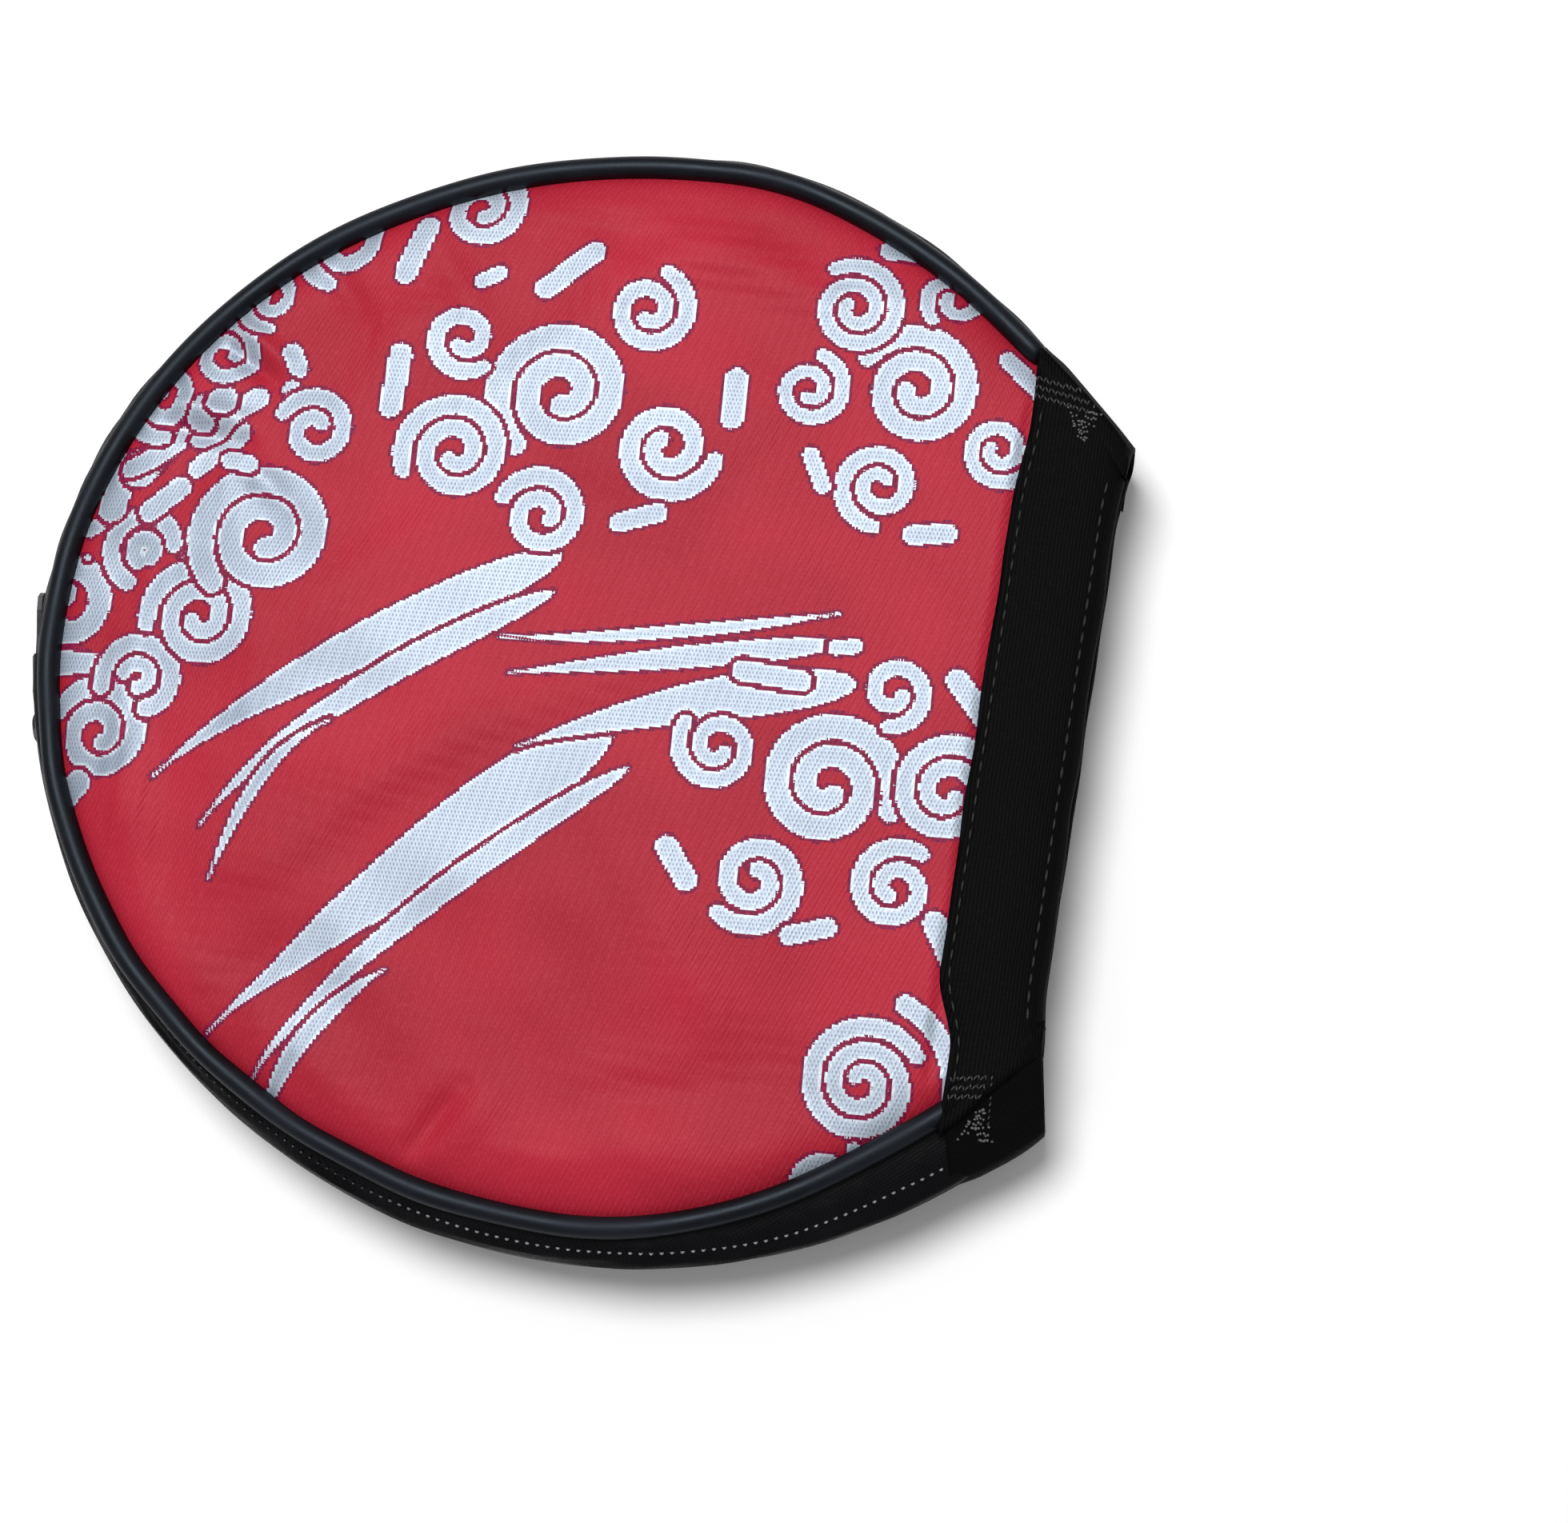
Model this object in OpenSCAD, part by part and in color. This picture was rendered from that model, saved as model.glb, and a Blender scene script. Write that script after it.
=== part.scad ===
// Zipped half cover for a table-tennis blade: two padded panels joined by a gusset,
// piped round both faces, open at the neck and zipped along one side.
// x runs across the case, +y points to the rounded head, -y to the open neck,
// z runs up from the face it lies on. The origin is near the widest part of the panels.

/* [Outline] */
// Half width of the seam line at its widest
seam_half_w = 82.6; // [80:0.1:88]
// Distance of the widest line from the origin, towards the head
widest_y = 4.8; // [2:0.1:8]
// Length from the origin to the seam at the top of the rounded head
head_len = 98.6; // [94:0.1:104]
// Length from the origin to the neck edge
neck_len = 63.3; // [58:0.1:70]
// Half width of the seam line at the neck edge
neck_half_w = 45.6; // [45:0.1:52]
// How late the taper turns inward, 1 is nearly a straight line
taper_power = 1.8; // [1.3:0.01:2]
// How softly the taper starts at the widest line
taper_blend = 0.31; // [0.2:0.01:0.4]
// Thickness of the whole case
case_h = 21.6; // [21:0.1:24]

/* [Panels] */
// Thickness of the outer fabric
fabric_t = 1.2; // [0.8:0.1:1.4]
// Thickness of the padding
foam_t = 2.9; // [2:0.1:3]
// Thickness of the inner lining
lining_t = 0.7; // [0.4:0.1:0.8]
// Gap left between neighbouring layers
layer_gap = 0.1; // [0.05:0.05:0.2]

/* [Piping] */
// Outer radius of the piping
piping_r = 1.7; // [1.4:0.1:1.8]
// Radius of the filler cord inside it
cord_r = 1.0; // [0.7:0.1:1.1]
// Width of the piping's seam allowance
flange_w = 6; // [4:0.5:7]

/* [Gusset] */
// How far the plain side of the gusset bulges past the seam line
plain_bulge = 2.5; // [2:0.1:6]
// Thickness of the gusset fabric
gusset_t = 1.2; // [0.8:0.1:1.4]

/* [Zip] */
// Radius of the zip's path round the case
zip_r = 97; // [96:0.1:98]
// Centre of the zip's path, across the case
zip_cx = 9.4; // [8.4:0.1:10.4]
// Centre of the zip's path, along the case
zip_cy = 6.2; // [5.2:0.1:7.2]
// Distance from one tooth to the next on the same side
tooth_pitch = 2.5; // [2:0.1:3]
// Length of a tooth along the zip
tooth_len = 1.1; // [0.8:0.1:1.2]
// Angle that the slider travels from closed to open
slider_travel = 102; // [60:1:102]
// Length of the slider's outer plate
slider_len = 9; // [8:0.1:9.5]
// Length of the pull tab's flat blade
tab_len = 16; // [10:0.5:18]

/* [Neck band] */
// Width of the binding along the neck opening
band_w = 16; // [12:0.5:18]

/* [Hidden] */
$fn = 48;

mid_z = case_h / 2;
piping_z = case_h - piping_r - 0.2;          // centre of the front piping
foam_z = case_h - fabric_t - layer_gap - foam_t;
lining_z = foam_z - layer_gap - lining_t;
seam_z = case_h - 3.5;                       // top of the gusset at the seam
panel_in = 1.9;                              // panel edge, inside the seam line
foam_in = flange_w + 0.6;
lining_in = 4;
band_y = band_w - neck_len;                  // inner edge of the neck band
under_y = band_y - 3.6;                      // inner edge of the band's leg inside the pocket
lining_y = under_y + 0.2;
foam_y = 2.4 - neck_len;
far = 200;                                   // half of a cutting block, larger than the case
low_steps = 16;
head_steps = 48;

// Zip levels, measured from the middle of the case's thickness
tooth_gap = 0.5;                             // half the slot between the two rows
tooth_top = 2.2;
tape_t = 0.5;
teeth_r = zip_r - 1.8;                       // middle of the teeth
tooth_half_t = 0.9;
plate_gap = 1.2;                             // inner face of a slider plate from the teeth's middle
plate_t = 0.9;
slider_half_w = 3.3;
flap_z = 3.6;                                // underside of the tape's sewn flap
strip_z = 4.3;                               // underside of the gusset strip at its outer edge
pin_x = plate_gap + plate_t + 1.0;           // pull tab's pivot, out from the teeth's middle
pin_r = 0.5;

// Zip angles about its centre
patch_a0 = 98.4;
patch_a1 = 102.2;
teeth_a0 = 103.6;
slider_a = 107;
stop_a = 212.4;
teeth_a1 = 211.8;
neck_a = 180 + asin((neck_len + zip_cy - 0.8) / zip_r);

// ---------- outline ----------
taper_len = neck_len + widest_y;
function rise(t) = pow(t * t + taper_blend * taper_blend, taper_power / 2);
function taper_w(t) = seam_half_w
    - (seam_half_w - neck_half_w) * (rise(t) - rise(0)) / (rise(1) - rise(0));
// Seam line: p runs 0..1 up the zip side, 1..2 round the head, 2..3 down the plain side
function rim(p) =
    p < 1 ? [-taper_w(1 - p), widest_y - taper_len * (1 - p)] :
    p <= 2 ? [-seam_half_w * cos(180 * (p - 1)), widest_y + (head_len - widest_y) * sin(180 * (p - 1))] :
    [taper_w(p - 2), widest_y - taper_len * (p - 2)];
// The value of p at a height y on the zip side's taper
function p_at(y) = 1 + (y - widest_y) / taper_len;
function unit(v) = v / norm(v);
function normal(p) = let (d = rim(p + 0.001) - rim(p - 0.001)) unit([-d[1], d[0]]);
function smooth(v) = let (c = max(0, min(1, v))) c * c * (3 - 2 * c);
function mix(a, b, m) = a * (1 - m) + b * m;
join_p = 1.4727;                             // where the zip side meets the plain gusset
neck_p = 0.27;                               // the gusset runs square to the neck up to here
function plain_mix(p) = smooth((p - join_p) / 0.35);
// The gusset's outward direction: square to the neck there, then from the zip's centre,
// and from a centre mirrored to the plain side
function centre(p) = [zip_cx * (1 - 2 * plain_mix(p)), zip_cy];
function gusset_dir(p) = let (
    q = min(p, 3 - p),
    square_off = 1 - smooth((q - neck_p) / 0.4))
    unit(mix(unit(rim(p) - centre(p)), [p < 1.5 ? -1 : 1, 0], square_off));
// Distance from the seam line to the zip's path along that direction
function zip_bulge(p) = let (w = rim(p) - [zip_cx, zip_cy], d = w * gusset_dir(p))
    sqrt(d * d - w * w + zip_r * zip_r) - d;
function bulge(p) = mix(zip_bulge(min(p, join_p)), plain_bulge, plain_mix(p));

// Every p at which rings are placed between two values
function steps(a, b) = concat([a],
    [for (i = [1 : low_steps - 1]) let (p = i / low_steps) if (p > a + 0.01 && p < b - 0.01) p],
    [for (i = [0 : head_steps]) let (p = 1 + i / head_steps) if (p > a + 0.005 && p < b - 0.005) p],
    [for (i = [1 : low_steps - 1]) let (p = 2 + i / low_steps) if (p > a + 0.01 && p < b - 0.01) p],
    [b]);

// A solid skinned over rings of equal length, capped by the triangles given for one ring
module loft(rings, cap) {
    n = len(rings[0]);
    m = len(rings);
    sides = [for (i = [0 : m - 2]) for (j = [0 : n - 1]) let (a = i * n + j, b = i * n + (j + 1) % n)
        for (t = [[a, b, b + n], [a, b + n, a + n]]) t];
    start = [for (t = cap) [t[2], t[1], t[0]]];
    end = [for (t = cap) [for (j = t) (m - 1) * n + j]];
    polyhedron(points = [for (r = rings) for (q = r) q], faces = concat(sides, start, end), convexity = 8);
}
// A section is two chains of [share of the bulge, extra millimetres outward, z] with as many
// points each, the outer one and then the inner one, both from front to back
function reverse(list) = [for (i = [len(list) - 1 : -1 : 0]) list[i]];
function chains(outer, inner) = concat(outer, reverse(inner));
function chain_cap(n) = let (h = n / 2) [for (i = [0 : h - 2])
    for (t = [[i, i + 1, n - 2 - i], [i, n - 2 - i, n - 1 - i]]) t];
function ring(p, section, u, b) = let (o = rim(p))
    [for (s = section) [o[0] + u[0] * (s[0] * b + s[1]), o[1] + u[1] * (s[0] * b + s[1]), s[2]]];
// Sweep along the gusset's own direction and bulge
module gusset_sweep(a, b, section)
    loft([for (p = steps(a, b)) ring(p, section, gusset_dir(p), bulge(p))], chain_cap(len(section)));
// Sweep square to the seam line, ending at the neck band on both sides
module seam_sweep(section, cap)
    loft([for (p = steps(piping_p, 3 - piping_p)) ring(p, section, normal(p), 0)], cap);
function flip(section) = [for (s = reverse(section)) [s[0], s[1], case_h - s[2]]];

// The panel outline, set in by a distance and cut off at a height y
module panel_shape(inset, y_cut) {
    intersection() {
        polygon([for (p = steps(0, 3)) rim(p) - normal(p) * inset]);
        translate([-far, y_cut]) square(2 * far);
    }
}
module slab(inset, y_cut, z, t) translate([0, 0, z]) linear_extrude(t) panel_shape(inset, y_cut);
module flipped() translate([0, 0, case_h]) mirror([0, 0, 1]) children();

// ---------- panels ----------
module front_panel() color([0.68, 0.16, 0.24])
    slab(panel_in, band_y + 0.2, case_h - fabric_t, fabric_t);
module front_foam() color([0.85, 0.85, 0.8]) slab(foam_in, foam_y, foam_z, foam_t);
module front_lining() color([0.1, 0.1, 0.1]) slab(lining_in, lining_y, lining_z, lining_t);
module back_panel() color([0.06, 0.06, 0.07]) flipped()
    slab(panel_in, band_y + 0.2, case_h - fabric_t, fabric_t);
module back_foam() color([0.85, 0.85, 0.8]) flipped() slab(foam_in, foam_y, foam_z, foam_t);
module back_lining() color([0.1, 0.1, 0.1]) flipped() slab(lining_in, lining_y, lining_z, lining_t);

// ---------- piping ----------
slit = 0.06;                                 // half the gap between the two flange layers
flange_half_t = 0.5;
wrap_steps = 10;
function tube_chain(r, a) = [for (i = [0 : wrap_steps]) let (f = a - 2 * a * i / wrap_steps)
    [0, r * cos(f), piping_z + r * sin(f)]];
piping_section = chains(
    concat([[0, -flange_w, piping_z + flange_half_t]], tube_chain(piping_r, 160),
        [[0, -flange_w, piping_z - flange_half_t]]),
    concat([[0, -flange_w, piping_z + slit]], tube_chain(cord_r + 0.05, 172),
        [[0, -flange_w, piping_z - slit]]));
cord_sides = 8;
cord_section = [for (i = [0 : cord_sides - 1]) let (f = -360 * i / cord_sides)
    [0, cord_r * cos(f), piping_z + cord_r * sin(f)]];
function fan_cap(n) = [for (i = [1 : n - 2]) [0, i, i + 1]];
piping_p = p_at(band_y) + 0.006;
module piping(section) color([0.05, 0.05, 0.06]) seam_sweep(section, chain_cap(len(section)));
module piping_cord(section) color([0.9, 0.9, 0.88]) seam_sweep(section, fan_cap(cord_sides));
module front_piping() piping(piping_section);
module front_piping_cord() piping_cord(cord_section);
module back_piping() piping(flip(piping_section));
module back_piping_cord() piping_cord(flip(cord_section));

// Tape that binds the raw edges of the seam on the inside
binding_section = chains(
    [[0, -0.7, seam_z], [0, -0.7, seam_z - 2.2]],
    [[0, -2.6, seam_z], [0, -3.7, seam_z - 2.2]]);
module seam_binding(section) color([0.08, 0.08, 0.08]) seam_sweep(section, chain_cap(len(section)));
module front_seam_binding() seam_binding(binding_section);
module back_seam_binding() seam_binding(flip(binding_section));

// ---------- gusset ----------
arch_half = seam_z - mid_z;
arch_steps = 10;
plain_section = chains(
    [for (i = [0 : arch_steps]) let (a = 90 - 180 * i / arch_steps)
        [cos(a), 0, mid_z + arch_half * sin(a)]],
    [for (i = [0 : arch_steps]) let (a = 90 - 180 * i / arch_steps)
        [cos(a), -gusset_t * cos(a), mid_z + (arch_half - gusset_t) * sin(a)]]);
module plain_gusset() color([0.07, 0.07, 0.08]) gusset_sweep(join_p + 0.001, 2.996, plain_section);

// Strip from the seam to its folded edge beside the zip
strip_top = mid_z + strip_z + gusset_t;
strip_section = chains(
    [[0, 0, seam_z], [0.3, 0, seam_z - 0.35], [0.7, 0, strip_top + 0.45], [1, -0.5, strip_top],
        [1, 0, strip_top - 0.5]],
    [[0, 0, seam_z - gusset_t], [0.3, 0, seam_z - gusset_t - 0.25],
        [0.7, -0.2, strip_top - gusset_t + 0.35], [1, -0.6, strip_top - gusset_t],
        [1, 0, strip_top - gusset_t]]);
module zip_strip(section) color([0.07, 0.07, 0.08]) gusset_sweep(0.004, join_p - 0.003, section);
module zip_gusset_front() zip_strip(strip_section);
module zip_gusset_back() zip_strip(flip(strip_section));

// ---------- zip ----------
module about_zip() translate([zip_cx, zip_cy, 0]) children();
// A ring segment with a polygon section of [radius, z above the middle] points
module arc_piece(a0, a1, section) about_zip() translate([0, 0, mid_z]) rotate([0, 0, a0])
    rotate_extrude(angle = a1 - a0, $fn = 180) polygon(section);
tape_section = [[teeth_r - tape_t / 2, 1.3], [teeth_r + tape_t / 2, 1.3],
    [teeth_r + tape_t / 2, flap_z + tape_t], [teeth_r - 3.2, flap_z + tape_t],
    [teeth_r - 3.2, flap_z], [teeth_r - tape_t / 2, flap_z]];
module zip_tape_front() color([0.09, 0.09, 0.1]) difference() {
    arc_piece(patch_a1 + 0.2, neck_a, tape_section);
    teeth_row(0, 1);
}
module zip_tape_back() color([0.09, 0.09, 0.1]) difference() {
    arc_piece(patch_a1 + 0.2, neck_a, [for (q = tape_section) [q[0], -q[1]]]);
    teeth_row(0.5, -1);
}
pitch_a = tooth_pitch / teeth_r * 180 / PI;
tooth_count = floor((teeth_a1 - teeth_a0) / pitch_a) - 1;
// One row of teeth; shift is its stagger in pitches and side is +1 above or -1 below the middle
module teeth_row(shift, side) about_zip() for (i = [0 : tooth_count])
    rotate([0, 0, teeth_a0 + (i + shift) * pitch_a])
        translate([teeth_r - tooth_half_t, 0, side > 0 ? mid_z + tooth_gap : mid_z - tooth_top])
            cube([2 * tooth_half_t, tooth_len, tooth_top - tooth_gap]);
module zip_teeth_front() color([0.12, 0.12, 0.13]) teeth_row(0, 1);
module zip_teeth_back() color([0.12, 0.12, 0.13]) teeth_row(0.5, -1);
// A stop is a staple closed over both rows
module zip_bottom_stop() color([0.5, 0.5, 0.52])
    arc_piece(stop_a, stop_a + 0.9, [[teeth_r + 0.35, -tooth_top], [teeth_r + 1.1, -tooth_top],
        [teeth_r + 1.1, tooth_top], [teeth_r + 0.35, tooth_top]]);
module zip_top_stops() color([0.5, 0.5, 0.52]) for (side = [-1, 1])
    arc_piece(patch_a1 + 0.3, patch_a1 + 1.1, [[teeth_r + 0.3, side * 0.8], [teeth_r + 1.1, side * 0.8],
        [teeth_r + 1.1, side * 2.6], [teeth_r + 0.3, side * 2.6]]);
module zip_end_patch() color([0.07, 0.07, 0.08])
    arc_piece(patch_a0, patch_a1, [[zip_r - 1.2, 0.2 - strip_z], [zip_r, 0.2 - strip_z],
        [zip_r, strip_z - 0.2], [zip_r - 1.2, strip_z - 0.2]]);

// ---------- slider and pull ----------
// Local frame at the slider: x outward from the teeth, y along the zip to the neck, z up
module at_slider() about_zip() rotate([0, 0, slider_a]) translate([teeth_r, 0, mid_z]) children();
module rounded_plate(length, half_w, t, r) hull() for (y = [-1, 1]) for (z = [-1, 1])
    translate([0, y * (length / 2 - r), z * (half_w - r)]) rotate([0, 90, 0])
        cylinder(r = r, h = t, $fn = 32);
bridge_half_l = 3.3;
bridge_half_w = 0.8;
bridge_t = 0.9;
post_l = 1.1;
wedge_l = 2.2;
wedge_t = 0.5;
flange_x = 0.65;                             // a flange's inner edge, from the teeth's middle
flange_z = 2.5;
flange_l = slider_len - 2.8;
sunk = 0.1;                                  // how far joined solids run into each other
module slider_body() color([0.14, 0.14, 0.15]) at_slider() {
    translate([plate_gap, 0, 0]) rounded_plate(slider_len, slider_half_w, plate_t, 1.2);
    translate([-plate_gap - plate_t, 0, 0]) rounded_plate(slider_len - 0.8, slider_half_w, plate_t, 1.2);
    // wedge that parts the rows
    translate([-plate_gap - sunk, -slider_len / 2 + 0.6, -wedge_t / 2])
        cube([2 * (plate_gap + sunk), wedge_l, wedge_t]);
    // flanges that guide the rows, open where the tapes leave
    flange_h = plate_gap + sunk - flange_x;
    for (x = [-plate_gap - sunk, flange_x]) for (z = [-slider_half_w, flange_z])
        translate([x, -flange_l / 2, z]) cube([flange_h, flange_l, slider_half_w - flange_z]);
    // bridge that holds the pull
    for (y = [-bridge_half_l, bridge_half_l - post_l])
        translate([plate_gap + plate_t - sunk, y, -bridge_half_w]) cube([2.8, post_l, 2 * bridge_half_w]);
    translate([pin_x + pin_r + 0.3, -bridge_half_l, -bridge_half_w])
        cube([bridge_t, 2 * bridge_half_l, 2 * bridge_half_w]);
}
arm_in = 1.2;
arm_out = 2.2;
arm_l = 6;
tab_half_w = 2.7;
tab_tilt = 9;
module pull_tab() color([0.14, 0.14, 0.15]) at_slider() translate([pin_x, 0, 0]) {
    translate([0, 0, -arm_out]) cylinder(r = pin_r, h = 2 * arm_out);
    for (side = [-1, 1]) translate([-pin_r, -arm_l, side > 0 ? arm_in : -arm_out])
        cube([2 * pin_r, arm_l, arm_out - arm_in]);
    translate([0, -arm_l + 0.3, 0]) rotate([0, 0, -tab_tilt]) difference() {
        translate([-0.6, -tab_len / 2, 0]) rounded_plate(tab_len, tab_half_w, 1.2, 1.6);
        translate([-1, -tab_len + 3.2, 0]) rotate([0, 90, 0]) cylinder(r = 1, h = 2);
    }
}

// ---------- neck ----------
// Binding folded over the neck edge of a padded panel
fold_z = lining_z - 0.05;
leg_t = 0.75;
fold_t = 1.6;                                // thickness of the fold at the neck edge
module neck_band_front() color([0.05, 0.05, 0.06]) {
    difference() {
        translate([0, 0, fold_z]) linear_extrude(case_h - fold_z) intersection() {
            polygon([for (p = steps(0, 3)) rim(p) + normal(p) * 0.1]);
            translate([-far, -neck_len]) square([2 * far, band_w]);
        }
        translate([-far, fold_t - neck_len, lining_z + leg_t]) cube([2 * far, 2 * far, foam_t + 0.15]);
        translate([-far, under_y, 0]) cube([2 * far, 2 * far, case_h - fabric_t]);
    }
}
module neck_band_back() color([0.05, 0.05, 0.06]) flipped() neck_band_front();
wrap_t = 0.9;
wrap_gap = 0.25;
wrap_top = [[0, 0.2, seam_z + 2.1], [0.4, 0.5, seam_z + 1.5],
    [0.75, 0.8, seam_z + 0.2], [1, 1.1, strip_top]];
wrap_under = [[0, 0.2, seam_z + 0.2], [0.35, 0.1, seam_z],
    [0.7, 0.1, strip_top + 0.7], [1, wrap_gap, strip_top + 0.15]];
zip_wrap_section = chains(
    concat(wrap_top, [[1, wrap_gap + wrap_t, mid_z]], flip(wrap_top)),
    concat(wrap_under, [[1, wrap_gap, mid_z]], flip(wrap_under)));
module neck_wrap_zip_side() color([0.05, 0.05, 0.06])
    gusset_sweep(0, p_at(band_y) - 0.002, zip_wrap_section);
plain_wrap_section = chains(
    [for (i = [0 : arch_steps]) let (a = 90 - 180 * i / arch_steps)
        [cos(a), wrap_gap + wrap_t, mid_z + (arch_half + 0.2 + 1.8 * abs(sin(a))) * sin(a)]],
    [for (i = [0 : arch_steps]) let (a = 90 - 180 * i / arch_steps)
        [cos(a), wrap_gap, mid_z + (arch_half + 0.2) * sin(a)]]);
module neck_wrap_plain_side() color([0.05, 0.05, 0.06])
    gusset_sweep(3 - p_at(band_y) + 0.002, 3, plain_wrap_section);

// Rows of dense stitching that lock the piping's end under the band
tack_rows = 3;
tack_len = 8;
tack_x = taper_w(0.8) - 3;                   // the outermost row
module bar_tacks(side) {
    for (i = [0 : tack_rows - 1]) translate([side * (tack_x - 2 * i), band_y - tack_len - 0.6, case_h])
        rotate([0, 0, side * 8]) translate([-0.35, 0, 0]) cube([0.7, tack_len, 0.3]);
}
module bar_tacks_zip_side() color([0.09, 0.09, 0.1]) bar_tacks(-1);
module bar_tacks_plain_side() color([0.09, 0.09, 0.1]) bar_tacks(1);

front_panel();
front_foam();
front_lining();
back_panel();
back_foam();
back_lining();
front_piping();
front_piping_cord();
back_piping();
back_piping_cord();
front_seam_binding();
back_seam_binding();
plain_gusset();
zip_gusset_front();
zip_gusset_back();
zip_tape_front();
zip_tape_back();
zip_teeth_front();
zip_teeth_back();
zip_bottom_stop();
zip_top_stops();
zip_end_patch();
slider_body();
pull_tab();
neck_band_front();
neck_band_back();
neck_wrap_zip_side();
neck_wrap_plain_side();
bar_tacks_zip_side();
bar_tacks_plain_side();
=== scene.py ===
import math

import bpy
import numpy as np
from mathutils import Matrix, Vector
from mathutils.bvhtree import BVHTree
from mathutils.geometry import delaunay_2d_cdt


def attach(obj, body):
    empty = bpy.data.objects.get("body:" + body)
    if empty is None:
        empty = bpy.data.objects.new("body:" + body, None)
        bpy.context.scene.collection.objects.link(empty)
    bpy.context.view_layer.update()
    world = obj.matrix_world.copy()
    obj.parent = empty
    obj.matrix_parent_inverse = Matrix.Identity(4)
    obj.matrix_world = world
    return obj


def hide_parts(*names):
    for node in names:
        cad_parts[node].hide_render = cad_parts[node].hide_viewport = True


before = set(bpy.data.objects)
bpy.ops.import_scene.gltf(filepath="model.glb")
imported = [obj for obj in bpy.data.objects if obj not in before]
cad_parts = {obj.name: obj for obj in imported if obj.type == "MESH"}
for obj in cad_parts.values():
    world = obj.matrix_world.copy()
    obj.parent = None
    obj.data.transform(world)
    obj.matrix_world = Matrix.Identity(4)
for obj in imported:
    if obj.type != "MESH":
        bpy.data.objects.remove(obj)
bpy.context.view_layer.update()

MM = 0.001

# ---------- driving dimensions, as in the CAD part ----------
SEAM_HALF_W, WIDEST_Y, HEAD_LEN, NECK_LEN, NECK_HALF_W = 82.6, 4.8, 98.6, 63.3, 45.6
TAPER_LEN, TAPER_POWER, TAPER_BLEND = NECK_LEN + WIDEST_Y, 1.8, 0.31
CASE_H = 21.6
MID_Z = CASE_H / 2
PIPING_R = 1.7
PIPING_Z = CASE_H - PIPING_R - 0.2
SEAM_Z = CASE_H - 3.5
PLAIN_BULGE = 2.5
ZIP_R, ZIP_CX, ZIP_CY = 97.0, 9.4, 6.2
TEETH_R = ZIP_R - 1.8
TOOTH_PITCH = 2.5
ZIP_A0 = 102.5                    # angles round the zip, in degrees: its start,
TAB_A0, TAB_A1 = 98.4, 102.2      # the tab before it,
TEETH_A0, TEETH_A1 = 103.6, 211.8     # the teeth,
STOP_A, SLIDER_A = 212.4, 107.0   # the end staple and the slider at rest
BAND_W = 16.0
BAND_Y = BAND_W - NECK_LEN        # the neck band's inner edge
JOIN_P, NECK_P = 1.4727, 0.27     # where the gusset's strips join and where the neck begins, in p
STRIP_TOP = MID_Z + 5.5
CLOTH_INSET, CLOTH_CUT = 0.7, BAND_Y - 4.4    # how far in from the seam line a panel ends, and its neck end
BACK_INSET, BACK_CUT = 1.2, BAND_Y - 4.5
LINING_INSET, LINING_CUT, LINING_T = 3.8, BAND_Y - 3.6, 0.4
PAD_INSET, PAD_CUT = 6.8, 2.6 - NECK_LEN


# ---------- outline ----------
def smooth(v):
    c = np.clip(v, 0.0, 1.0)
    return c * c * (3 - 2 * c)


def taper(t):
    """Half width of the seam line, t of the way from the widest line to the neck edge."""
    def rise(s):
        return (s * s + TAPER_BLEND ** 2) ** (TAPER_POWER / 2)
    return SEAM_HALF_W - (SEAM_HALF_W - NECK_HALF_W) * (rise(t) - rise(0.0)) / (rise(1.0) - rise(0.0))


def rim(p):
    """Seam line: p runs 0 to 1 up the zip side, 1 to 2 round the head, 2 to 3 down the plain side."""
    p = np.asarray(p, float)
    up, head, down = p < 1, (p >= 1) & (p <= 2), p > 2
    t = np.where(up, 1 - p, np.where(down, p - 2, 0.0))
    a = np.pi * (p - 1)
    x = np.where(head, -SEAM_HALF_W * np.cos(a), np.where(up, -1.0, 1.0) * taper(np.abs(t)))
    y = WIDEST_Y + np.where(head, (HEAD_LEN - WIDEST_Y) * np.sin(a), -TAPER_LEN * t)
    return np.stack([x, y], -1)


def unit(v):
    return v / np.linalg.norm(v, axis=-1, keepdims=True)


def normal(p):
    d = rim(np.asarray(p) + 0.002) - rim(np.asarray(p) - 0.002)
    return unit(np.stack([-d[..., 1], d[..., 0]], -1))


def half_width(y):
    """Half width of the seam line at a height y of the tapering part."""
    return taper(np.clip((WIDEST_Y - y) / TAPER_LEN, 0, 1.3))


def p_at(y):
    return 1 + (y - WIDEST_Y) / TAPER_LEN


def plain_mix(p):
    return smooth((np.asarray(p) - JOIN_P) / 0.35)


def gusset_dir(p):
    """Outward direction of the gusset: square to the neck there, and from the zip's centre elsewhere."""
    p = np.asarray(p, float)
    centre = np.stack([ZIP_CX * (1 - 2 * plain_mix(p)), np.full_like(p, ZIP_CY)], -1)
    square = (1 - smooth((np.minimum(p, 3 - p) - NECK_P) / 0.4))[..., None]
    side = np.stack([np.where(p < 1.5, -1.0, 1.0), np.zeros_like(p)], -1)
    return unit(unit(rim(p) - centre) * (1 - square) + side * square)


def bulge(p):
    """How far the gusset stands out from the seam line: to the zip's arc, or evenly on the plain side."""
    on_zip = np.minimum(p, JOIN_P)
    w = rim(on_zip) - np.array([ZIP_CX, ZIP_CY])
    d = (w * gusset_dir(on_zip)).sum(-1)
    to_zip = np.sqrt(d * d - (w * w).sum(-1) + ZIP_R ** 2) - d
    m = plain_mix(p)
    return to_zip * (1 - m) + PLAIN_BULGE * m


def run_along(path):
    """How far along a path each of its points lies."""
    return np.concatenate([[0], np.cumsum(np.linalg.norm(np.diff(path, axis=0), axis=1))])


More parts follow.
